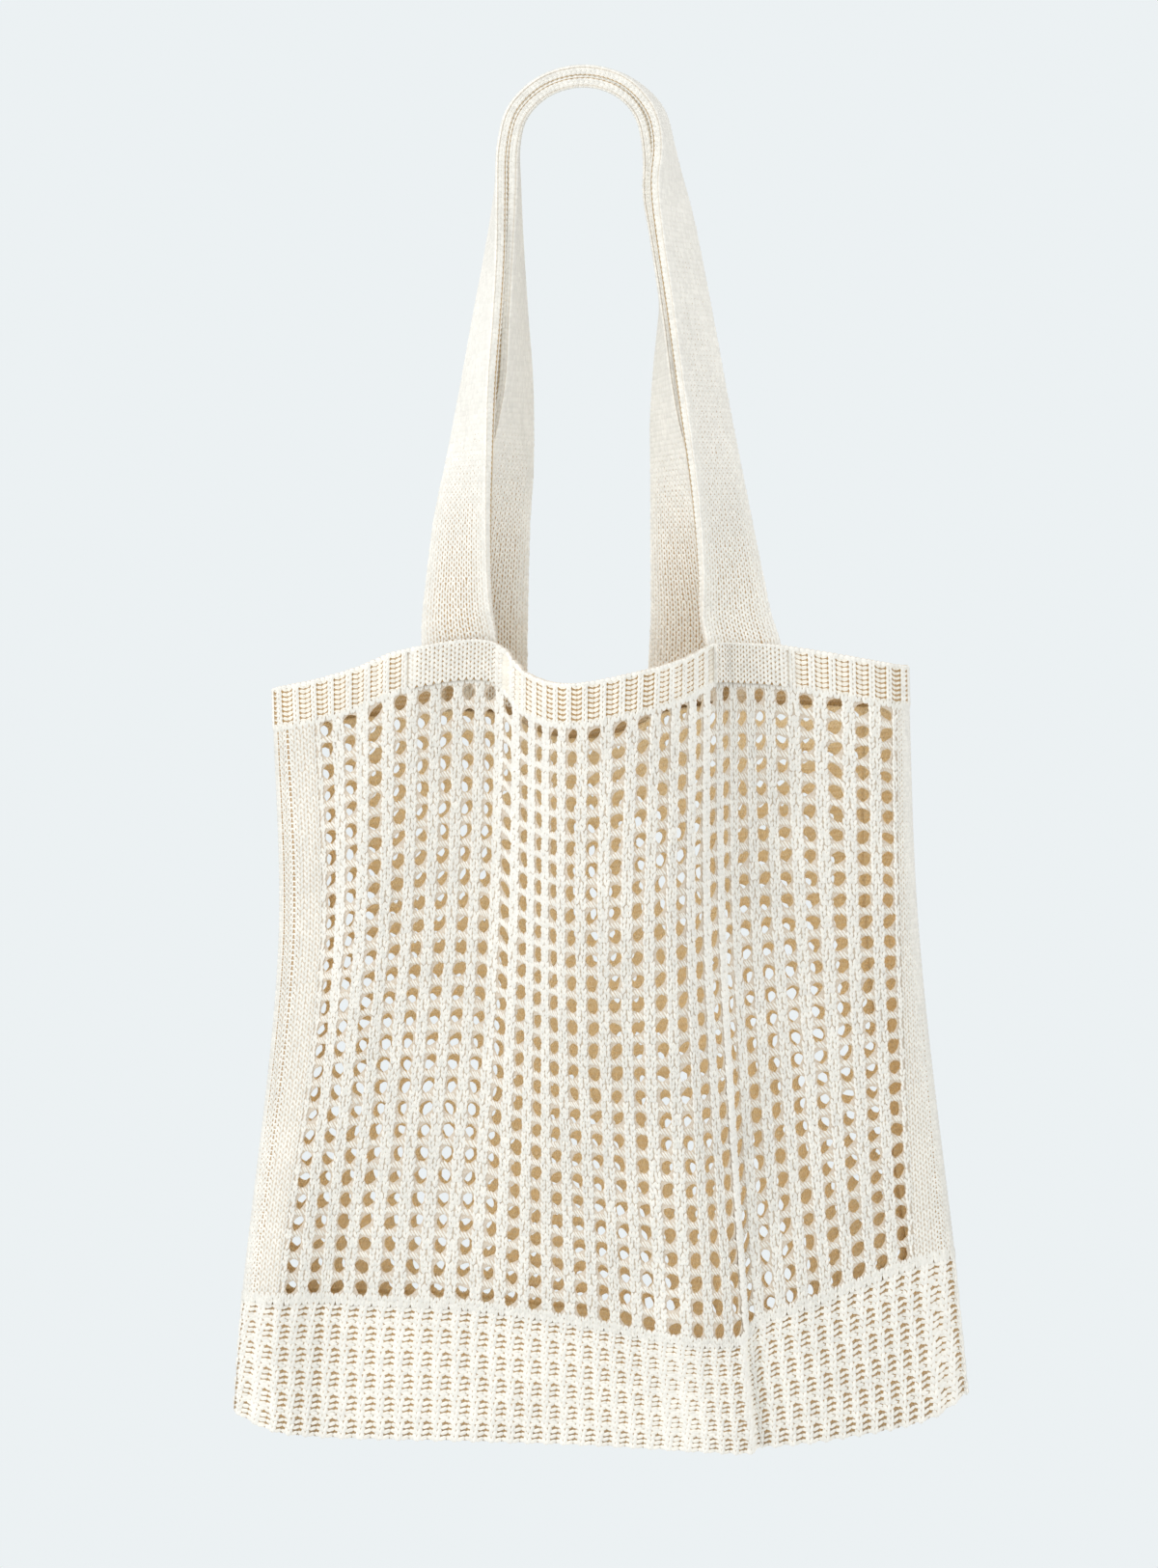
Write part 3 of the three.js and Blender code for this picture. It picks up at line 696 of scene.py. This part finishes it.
# %% [markdown]
# ## The plain sides
#
# The strips that join the front to the back are plain knitting, four eyelets wide: chains of Vs side by
# side. Here and there two chains stand a little apart over a ladder of short rungs, which shows as a line
# It is made of a core with more painted shade under the ladder, two parted rows of legs and a rung in each
# row.


# %% The sides
def grid_faces(rows, columns, closed):
    """Four-sided faces over a grid of points, which may close on itself sideways."""
    across = np.arange(columns if closed else columns - 1)
    down = np.arange(rows - 1)[:, None]
    a = down * columns + across
    b = down * columns + (across + 1) % columns
    return np.stack([a, a + columns, b + columns, b], axis=2).reshape(-1, 4)


SIDE_WIDE = SIDE_COLUMNS * CELL


def side_core(name, surface, ladders):
    steps_across, steps_down = 2 * SIDE_WIDE, PANEL_ROWS // 2
    knots = np.linspace(0, SIDE_WIDE, steps_across + 1), np.linspace(0, PANEL_ROWS, steps_down + 1)
    across, down = (grid.ravel() for grid in np.meshgrid(*knots))
    on_ladder = np.isin(np.floor(across), ladders) | np.isin(np.ceil(across) - 1, ladders)
    outer, inner, rim = (surface(across, down, out) for out in (CLOTH_HALF, -CLOTH_HALF, 0))
    faces, uv = grid_faces(steps_down + 1, steps_across + 1, False), np.stack([across, down], axis=1)
    # Deeper painted shade in the gaps under a ladder
    return thick_sheet(name, faces, outer, inner, rim, uv, np.where(on_ladder, 1, 0.55))


def plain_cloud(surface, stitches, rows, out, leg_wide, reach=0.74):
    """Vs all over a plain knitted face, one chain for each stitch that is named."""
    parts = []
    for side in (-1, 1):
        across, down = np.meshgrid(np.asarray(stitches) + 0.5 + side * 0.245, np.arange(rows) + 0.5)
        across = across + chance.normal(0, 0.03, across.shape)
        parts.append(legs(surface, across, down, -side * 0.2, reach, leg_wide, LEG_HIGH, out))
    return parts


def plain_side(name, first_column, ladders):
    """A strip of plain knitting, where a ladder of rungs takes the place of a few of the chains."""
    surface = wall_surface(first_column)
    core = side_core(name + "_cloth", surface, ladders)
    chains = [k for k in range(SIDE_WIDE) if k not in ladders]
    parts = plain_cloud(surface, chains, PANEL_ROWS, CLOTH_HALF, 0.00069)
    across, row = np.meshgrid(np.array(ladders) + 0.5, np.arange(PANEL_ROWS) + 0.5)
    # A ladder's gaps change within each four rows, and narrow towards the foot
    apart = 0.42 - 0.05 * (row % CELL) / CELL - 0.1 * row / PANEL_ROWS + chance.normal(0, 0.02, row.shape)
    parts += chain(surface, across, row, CLOTH_HALF, apart, 0.2, 0.00072, reach=0.8)
    thick = 0.00085 + 0.0005 * (row % CELL) / CELL + 0.0002 * row / PANEL_ROWS
    parts.append(legs(surface, across, row, 0.6, 0.1, thick, 0.0006, 0.0004))
    return core, lay(name + "_stitches", parts, stitch_yarn, PLUMP_LEG)


right_side = plain_side("right_side", PANEL_COLUMNS, [4])
left_side = plain_side("left_side", 2 * PANEL_COLUMNS + SIDE_COLUMNS, [9, 11])

# %% [markdown]
# ## The ribbed bands
#
# Ribbing is columns of Vs that stand forward, with sunken ladders of level yarn between them. It pulls the
# edge in and keeps it from curling. The core follows each rib in and out, and has dark painted shade between
# the rungs.
# In the top band a rung is a shallow cup of two legs. Over a sewn strap end the ribs are stretched flat,
# and the Vs cover the whole patch. The foot is looser: its chains zigzag over four rows, its rungs are
# arched, and each fourth gap is closed, so that the open ones stand in threes.

# %% The bands
RIB_STEPS = 6
BAND_STEPS = RIBS * RIB_STEPS
STEPS_PER_COLUMN = BAND_STEPS / LOOP_COLUMNS
RIB_WIDE = LOOP_COLUMNS * CELL / RIBS  # in stitches


def rib_wave(across):
    """1 on the crest of a rib and -1 in its groove."""
    return np.cos(2 * np.pi * across / RIB_WIDE)


def patch_at(column):
    """How far a sewn strap end lifts the band at each column."""
    half_patch = 0.66 * STRAP_WIDTH / COLUMN_PITCH
    lift = np.zeros(np.shape(column))
    for place in STRAP_COLUMNS.values():
        near = np.clip((half_patch - np.abs(np.mod(column, LOOP_COLUMNS) - place)) / 0.3 + 0.5, 0, 1)
        lift = np.maximum(lift, near)
    return PATCH_RISE * lift


def band_surface(top, bottom, rows, half_wall, lifted):
    def surface(across, down, out):
        column, level = across / CELL, top + (bottom - top) * down / rows
        lift = patch_at(column) if lifted else 0
        # A sewn strap end stretches the ribs flat
        rib = RIB_DEPTH / 2 * rib_wave(across) * (1 - lift / PATCH_RISE)
        return off_wall(column, level, half_wall + lift + rib + out)

    return surface


def border_rows(rows):
    """Rows of plain Vs all round the bag, where the openwork meets a band."""
    across, down = np.meshgrid(np.arange(LOOP_COLUMNS * CELL) + 0.5, rows)
    across = across + chance.normal(0, 0.06, across.shape)
    return chain(wall_surface(0), across, down, 0.001, 0.24, 0.17, 0.00075, reach=0.7)


def top_legs(surface, rows):
    """Chains on the crests and cupped rungs between them, or more chains over a sewn strap end."""
    rib, down = np.meshgrid(np.arange(RIBS) * RIB_WIDE, np.arange(rows) + 0.5)
    groove = rib + RIB_WIDE / 2
    raised = patch_at(groove / CELL) > PATCH_RISE / 2
    flat = patch_at(rib / CELL) > PATCH_RISE / 2
    open_groove, rung = groove[~raised], down[~raised]
    parts = chain(surface, rib[~flat], down[~flat], 0.0001, 0.28, 0.19, 0.00078)
    for place, row in ((rib[flat], down[flat]), (groove[raised], down[raised])):
        parts += chain(surface, place, row, 0.0001, 0.36, 0.32, 0.00086)
    for side in (-1, 1):
        place = open_groove + side * 0.42
        # The cupped rungs in the grooves get some warm painted shade
        parts.append(legs(surface, place, rung, 0.62, -side * 0.26, 0.00108, LEG_HIGH, -0.0004, 0.15))
    return parts


ZIGZAG_ROWS = 4


def hem_legs(surface, rows, wave):
    """Chains that zigzag over four rows, and ladders of arched rungs, where each fourth gap is closed."""
    rib, row = np.meshgrid(np.arange(RIBS) * RIB_WIDE, np.arange(rows))
    sway = wave * (1 - (row - 1) % ZIGZAG_ROWS / 1.5) + chance.normal(0, 0.04, rib.shape)
    parts = chain(surface, rib + sway, row + 0.5, 0.0001, 0.33, 0.22, 0.001)
    slot, down = rib + RIB_WIDE / 2 + sway, row + 0.5
    closed = row % ZIGZAG_ROWS == 0
    # The arched rungs get a little warm painted shade
    parts.append(legs(surface, slot - 0.38, down + 0.12, 0.74, -0.3, 0.00094, LEG_HIGH, 0.0, 0.06))
    parts.append(legs(surface, slot + 0.58, down + 0.02, 0.56, 0.16, 0.00094, LEG_HIGH, 0.0, 0.06))
    parts.append(legs(surface, slot[closed], down[closed] - 0.5, 0.8, 0.0, 0.0009, 0.0008, 0.0))
    return parts


BAND_ROWS = 8
HEM_ROWS = 24
BAND_ROOM, HEM_ROOM = 0.0009, 0.0008  # how deep the stitches are let into the CAD walls
CORE_DEPTH = 0.0002  # how far the core lies under the stitches
top_surface = band_surface(0, BAND_LEVEL, BAND_ROWS, BAND_WALL / 2 - BAND_ROOM, True)
hem_surface = band_surface(1, HEM_LEVEL, HEM_ROWS, WALL / 2 - HEM_ROOM, False)


def top_band_core(name):
    step, row = np.meshgrid(np.arange(BAND_STEPS), np.linspace(0, BAND_ROWS, 5))
    across, down = (step * RIB_WIDE / RIB_STEPS).ravel(), row.ravel()
    column, level = across / CELL, BAND_LEVEL * down / BAND_ROWS
    lift = patch_at(column)
    # The narrow gaps at a patch's two ends are pulled shut, so they get less painted shade and don't look
    # deep
    around = np.maximum(patch_at(column - 0.25), patch_at(column + 0.25))
    deep = np.where((around > 0) & (lift < 0.9 * PATCH_RISE), 0.4, 1)
    outer = top_surface(across, down, -CORE_DEPTH)
    inner, rim = off_wall(column, level, lift - BAND_WALL / 2), off_wall(column, level, lift)
    faces, uv = grid_faces(5, BAND_STEPS, True), np.stack([across, down], axis=1)
    # The band's inner face is open to the light at the rim, so it gets less warm painted shade
    return thick_sheet(name, faces, outer, inner, rim, uv, deep, inner_shade=0.3)


def bottom_band_core(name):
    outer_levels = np.array([1, 1.04, 1.08, 1.12, 1.16, HEM_LEVEL - 0.002])
    inner_levels = np.array([1, 1.04, 1.08, 1.11, 1.135, 1.155])
    count = len(outer_levels)
    step, row = np.meshgrid(np.arange(BAND_STEPS), np.arange(count))
    across = (step * RIB_WIDE / RIB_STEPS).ravel()
    down = (outer_levels[row] - 1).ravel() / (HEM_LEVEL - 1) * HEM_ROWS
    column, inner_level = across / CELL, inner_levels[row].ravel()
    faces = grid_faces(count, BAND_STEPS, True).tolist()
    # The seam joins each step of the front to the step of the back behind it
    hem_row = (count - 1) * BAND_STEPS
    seam_sum = round(MIRROR_SUM * STEPS_PER_COLUMN)
    first, last = math.ceil(LEFT_FOLD * STEPS_PER_COLUMN), math.floor(RIGHT_FOLD * STEPS_PER_COLUMN)
    for here in range(first, last):
        ahead = [here, seam_sum - here, seam_sum - here - 1, here + 1]
        faces.append([hem_row + place % BAND_STEPS for place in ahead])
    apart = length(middle(column, inner_level) - middle(MIRROR_SUM - column, inner_level))
    inner = off_wall(column, inner_level, -np.minimum(WALL / 2, 0.4 * apart))
    outer = hem_surface(across, down, -CORE_DEPTH)
    return thick_sheet(name, faces, outer, inner, (outer + inner) / 2, np.stack([across, down], axis=1), 1)


top_core = top_band_core("top_band_cloth")
# The cast-on edge: three rows of slanted legs that lie over the rim, one behind the other
rim_places = np.arange(0, LOOP_COLUMNS * CELL, 0.8)
rim_chain = [
    legs(top_surface, rim_places, 0.05, 0.5, 0.12, 0.0011, LEG_HIGH, 0.0003 - 0.0008 * k) for k in range(3)
]
top_parts = [*top_legs(top_surface, BAND_ROWS), *rim_chain, *border_rows([0.15])]
top_stitches = lay("top_band_stitches", top_parts, stitch_yarn, PLUMP_LEG)
bottom_core = bottom_band_core("bottom_band_cloth")
hem_parts = [*hem_legs(hem_surface, HEM_ROWS, 0.25), *border_rows([107.8, 108.7])]
bottom_stitches = lay("bottom_band_stitches", hem_parts, stitch_yarn, PLUMP_LEG)
print("the bands' cores have", triangles(top_core), "and", triangles(bottom_core), "triangles")

# %% [markdown]
# ## The straps
#
# Each strap is a flat tube of plain knitting. It is sewn inside the band, flat against it, turns on its way
# up until it lies edge forward, and passes over the hook on top of the other strap or under it. So its
# route is a table too: how far down, how far aside and forward, and which way its width faces. Over the
# hook one sees the two edges, each a chain of Vs, and between them a groove in warm brown painted shade.
# Elsewhere an edge gets little painted shade.

# %% The straps' routes
FRONT_LEFT = [
    [0.95, -1.625, -0.31, 20],
    [0.88, -1.61, -0.28, 33],
    [0.78, -1.565, -0.25, 44],
    [0.68, -1.48, -0.21, 56],
    [0.54, -1.365, -0.16, 68],
    [0.42, -1.255, -0.1, 74],
    [0.3, -1.15, -0.05, 81],
    [0.19, -1.08, -0.02, 88],
]
FRONT_RIGHT = [
    [0.18, 1.09, -0.02, 112],
    [0.26, 1.185, -0.05, 118],
    [0.4, 1.355, -0.1, 122],
    [0.57, 1.55, -0.16, 127],
    [0.73, 1.74, -0.22, 133],
    [0.87, 1.885, -0.26, 146],
    [0.95, 1.95, -0.29, 162],
]
BACK_LEFT = [
    [0.95, -1.205, 0.5, 17],
    [0.88, -1.165, 0.44, 28],
    [0.78, -1.09, 0.36, 42],
    [0.68, -0.99, 0.29, 53],
    [0.54, -0.9, 0.19, 68],
    [0.42, -0.905, 0.11, 76],
    [0.3, -0.91, 0.05, 83],
    [0.19, -0.91, 0.02, 88],
]
BACK_RIGHT = [
    [0.18, 0.965, 0.28, 73],
    [0.26, 1.045, 0.26, 73],
    [0.4, 1.06, 0.22, 90],
    [0.57, 1.085, 0.22, 108],
    [0.73, 1.21, 0.29, 128],
    [0.87, 1.3, 0.42, 147],
    [0.95, 1.34, 0.5, 160],
]


def behind_band(column, level):
    """Where a flat strap end lies just clear of the band's inner face, and the way the band runs there."""
    centre = middle(column, level)[0]
    run = middle(column + 1.4, level)[0] - middle(column - 1.4, level)[0]
    run[2] = 0
    run = unit(run)
    inward = np.array([-run[1], run[0], 0])
    beside = column + np.linspace(-2.2, 2.2, 45)
    face = off_wall(beside, level, patch_at(beside) - BAND_WALL / 2) - centre
    near = np.abs(face @ run) < STRAP_WIDTH / 2 + GAP
    depth = (face @ inward)[near].max()
    return centre + inward * (depth + 1.7 * GAP + STRAP_THICKNESS / 2), run


ARC_DROP = 0.107 * STRAP_DROP  # from the inside of the loop down to where its round top begins
ARC_HALF = 0.905 * LOOP_HALF_WIDTH


def strap_route(which, side, left, right, larger, slide):
    """Rows of x, y, z and turn along the strap. larger is added to its arc's height and half width."""
    half_arc, arc_height = ARC_HALF + larger, ARC_DROP + STRAP_THICKNESS / 2 + larger

    def sewn(end, level):
        point, run = behind_band(STRAP_COLUMNS[f"{which}_{end}"], level)
        ends = run if (end == "left") == (side > 0) else -run
        turn = math.degrees(math.atan2(-side * ends[1], ends[0]))
        return [*point, turn if end == "left" else turn % 360]

    def hanging(rows):
        return [[x * LOOP_HALF_WIDTH, y * STRAP_WIDTH, -down * STRAP_DROP, turn] for down, x, y, turn in rows]

    arc = []
    for degrees in range(180, -1, -30):
        angle = math.radians(degrees)
        descent = max(math.cos(angle), 0) ** 2
        x, z = half_arc * math.cos(angle), -ARC_DROP + arc_height * math.sin(angle)
        arc.append([x, slide * STRAP_WIDTH * descent, z, 90 + side * TWIST_PAST_TOP * descent])
    levels = [BAND_LEVEL * share for share in (0.9, 0.5, 0.1)]
    up = [sewn("left", level) for level in levels] + hanging(left)
    return np.array(up + arc + hanging(right) + [sewn("right", level) for level in reversed(levels)])


# %% The straps' faces
STRAP_ROW = 0.0027
STRAP_WALES = 12
STRAP_WALE = STRAP_WIDTH / STRAP_WALES
STRAP_HALF = (STRAP_THICKNESS + STRAP_GAP) / 2  # the straps press on each other, so their faces nearly touch
STEP = 0.02  # along the route, to find its direction


def strap_surface(route, side):
    """The strap as a surface: stitches across its width, rows along it, and out of either face."""
    places = np.arange(len(route), dtype=float)
    fine = np.linspace(0, places[-1], 1200)

    def spots(at):
        return np.stack([smooth(places, route[:, axis], at) for axis in range(3)], axis=1)

    line = spots(fine)
    travelled = np.concatenate([[0], np.cumsum(length(np.diff(line, axis=0)))])
    rows = int(travelled[-1] / STRAP_ROW)

    def surface(across, down, out):
        at = np.interp(down / rows * travelled[-1], travelled, fine)
        here, before, after = (spots(np.clip(at + way, 0, places[-1])) for way in (0, -STEP, STEP))
        along = unit(after - before)
        turn = np.radians(smooth(places, route[:, 3], at))
        forward = -side * np.sin(turn)
        wide = np.stack([np.cos(turn), forward, TIP_FORWARD * forward], axis=1)
        wide = unit(wide - along * (wide * along).sum(axis=1, keepdims=True))
        through = np.cross(along, wide)
        aside = (across - STRAP_WALES / 2) * STRAP_WALE
        return here + wide * aside[:, None] + through * out[:, None]

    return surface, rows


def strap_core(name, surface, rows):
    """A flat tube, its section a ring of points with rounded edges."""
    half, thick = STRAP_WALES / 2 - 0.3, STRAP_HALF - CORE_DEPTH
    upper = [(half, 0), (half, 0.6), (half + 0.2, 0.85), (half + 0.1, 1), (half / 2, 1)]
    upper += [(0, 1), *[(-x, y) for x, y in upper[:0:-1]]]
    ring = np.array([(STRAP_WALES / 2 + x, y * thick) for x, y in upper])
    ring = np.concatenate([ring, np.array([STRAP_WALES, 0]) - ring])
    stations = np.linspace(0, rows, 161)
    down = np.repeat(stations, len(ring))
    across, out = np.tile(ring[:, 0], len(stations)), np.tile(ring[:, 1], len(stations))
    faces = grid_faces(len(stations), len(ring), True).tolist()
    last = (len(stations) - 1) * len(ring)
    faces += [list(range(len(ring))), [last + i for i in reversed(range(len(ring)))]]
    # Painted shade: deep and warm in the groove where the straps' edges meet, slight elsewhere on the edges
    on_edge = np.abs(across - STRAP_WALES / 2) > half - 0.5
    groove = on_edge & (out > 0.5 * thick)
    deep = np.where(groove, 1, np.where(on_edge, 0.1, 0.95))
    named = {"inside": np.where(groove, 0.35, 0), "deep": deep}
    return mesh_piece(name, surface(across, down, out), faces, named, np.stack([across, down], axis=1))


def strap(which, side, left, right, larger, slide):
    """The core, the stitches on the near face and the two edges, and the slimmer ones on the far face."""
    name = which + "_strap"
    surface, rows = strap_surface(strap_route(which, side, left, right, larger, slide), side)
    core = strap_core(name + "_cloth", surface, rows)
    faces = []
    # Slim legs cover less, so those of the far face are wider and longer
    for way, leg_wide, reach in ((-1, 0.0008, 0.84), (1, 0.001, 1.05)):

        def one_face(across, down, out, way=way):
            across = across if way > 0 else STRAP_WALES - across
            return surface(across, down, way * (STRAP_HALF - 0.0003 + out))

        faces.append(plain_cloud(one_face, range(STRAP_WALES), rows, 0.0, leg_wide, reach))
    # The edges are chains whose Vs lie over the side of the tube
    row = np.arange(rows) + 0.5
    for edge in (1, -1):

        def one_edge(across, down, out, edge=edge):
            aside = STRAP_WALES / 2 + edge * (STRAP_WALES / 2 - 0.2 + out / STRAP_WALE)
            return surface(aside, down, -edge * across * STRAP_WALE)

        faces[0] += chain(one_edge, 0, row, 0, 0.26, 0.18, 0.0011, reach=0.78, high=0.0011)
    shown = lay(name + "_stitches", faces[0], stitch_yarn, PLUMP_LEG)
    far = lay(name + "_far_stitches", faces[1], stitch_yarn, SLIM_LEG)
    print(name, "is", round(rows * STRAP_ROW, 3), "m long")
    return core, shown, far


# The front strap lies on the back one, so its arc is larger by a strap and the gap
front_strap = strap("front", 1, FRONT_LEFT, FRONT_RIGHT, larger=STRAP_THICKNESS + STRAP_GAP, slide=0)
back_strap = strap("back", -1, BACK_LEFT, BACK_RIGHT, larger=0, slide=0.14)

# %% [markdown]
# ## Placing the pieces
#
# Each core and its stitches take the place of one CAD node, which is hidden, and ride on the bag's one
# body. Each core gets the cloth's material.

# %% Hiding the CAD parts and placing the pieces
PANEL_HIGH, HEM_HIGH, STRAP_LONG = 0.78 * BODY_HEIGHT, 0.17 * BODY_HEIGHT, 0.7
PANEL_FLAT = (PANEL_COLUMNS * COLUMN_PITCH, PANEL_HIGH)
SIDE_FLAT = (SIDE_COLUMNS * COLUMN_PITCH, PANEL_HIGH)
TOP_FLAT = (LOOP_COLUMNS * COLUMN_PITCH, BAND_HEIGHT)
BOTTOM_FLAT = (LOOP_COLUMNS * COLUMN_PITCH, HEM_HIGH)
STRAP_FLAT = (STRAP_WIDTH, STRAP_LONG)
PIECES = [
    ("front_panel", front_panel, "openwork_knit", PANEL_FLAT),
    ("back_panel", back_panel, "openwork_knit", PANEL_FLAT),
    ("right_side", right_side, "plain_knit", SIDE_FLAT),
    ("left_side", left_side, "plain_knit", SIDE_FLAT),
    ("top_band", (top_core, top_stitches), "rib_knit", TOP_FLAT),
    ("bottom_band", (bottom_core, bottom_stitches), "rib_knit", BOTTOM_FLAT),
    ("front_strap", front_strap, "strap_knit", STRAP_FLAT),
    ("back_strap", back_strap, "strap_knit", STRAP_FLAT),
]
for node, (core, *stitches), finish, flat in PIECES:
    core.data.materials.append(core_yarn)
    for piece in (core, *stitches):
        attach(piece, "root")
        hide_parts(node)
    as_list(stitches)
print("the pieces have", sum(triangles(piece) for row in PIECES for piece in row[1]), "triangles in all")

# %% [markdown]
# ## Light
#
# The picture has the even light of a white studio, with a little more from the left. The world gives the
# even part and is the plain pale ground behind the bag. One large lamp gives the rest.

# %% The world
scene.view_settings.view_transform = "Standard"
scene.cycles.diffuse_bounces = 10
world = bpy.data.worlds.new("studio")
world.use_nodes = True
sky = world.node_tree
PALE_GROUND, EVEN_LIGHT = (0.838, 0.880, 0.896, 1), (1.0, 0.99, 0.97, 1)
ground = feed(sky, sky.nodes["Background"], {"Color": PALE_GROUND})
even = feed(sky, sky.nodes.new("ShaderNodeBackground"), {"Color": EVEN_LIGHT, "Strength": 1.09})
seen = sky.nodes.new("ShaderNodeLightPath").outputs["Is Camera Ray"]
chosen = feed(sky, sky.nodes.new("ShaderNodeMixShader"), {0: seen, 1: even[0], 2: ground[0]})
feed(sky, sky.nodes["World Output"], {"Surface": chosen[0]})
scene.world = world
print("the world has", len(sky.nodes), "nodes")

# %% The lamp and the floor
LAMP_PLACE, LAMP_TARGET = np.array([-1.7, -1.3, 0.3]), np.array([0, 0, -0.45])
FLOOR_Z, FLOOR_HALF, FLOOR_COLOR = -1.35, 1.1, (0.82, 0.85, 0.86, 1)
lamp_data = bpy.data.lights.new("key", "AREA")
lamp_data.size = 0.9
lamp_data.energy = 10
lamp_data.color = (1, 0.98, 0.95)
lamp = bpy.data.objects.new("key", lamp_data)
lamp.location = LAMP_PLACE
beam = LAMP_TARGET - LAMP_PLACE
lamp.rotation_euler = (math.acos(-beam[2] / length(beam)), 0, math.atan2(beam[1], beam[0]) + 1.5 * math.pi)

corners = [(x * FLOOR_HALF, y * FLOOR_HALF, FLOOR_Z) for x, y in ((-1, -1), (1, -1), (1, 1), (-1, 1))]
floor_mesh = bpy.data.meshes.new("floor")
floor_mesh.from_pydata(corners, [], [(0, 1, 2, 3)])
floor_paint = bpy.data.materials.new("pale_floor")
floor_paint.use_nodes = True
paint = floor_paint.node_tree
feed(paint, paint.nodes["Principled BSDF"], {"Base Color": FLOOR_COLOR, "Roughness": 0.9})
floor_mesh.materials.append(floor_paint)
floor = bpy.data.objects.new("floor", floor_mesh)
for thing in (lamp, floor):
    scene.collection.objects.link(thing)
print("the lamp hangs", round(float(length(beam)), 2), "m from the bag")
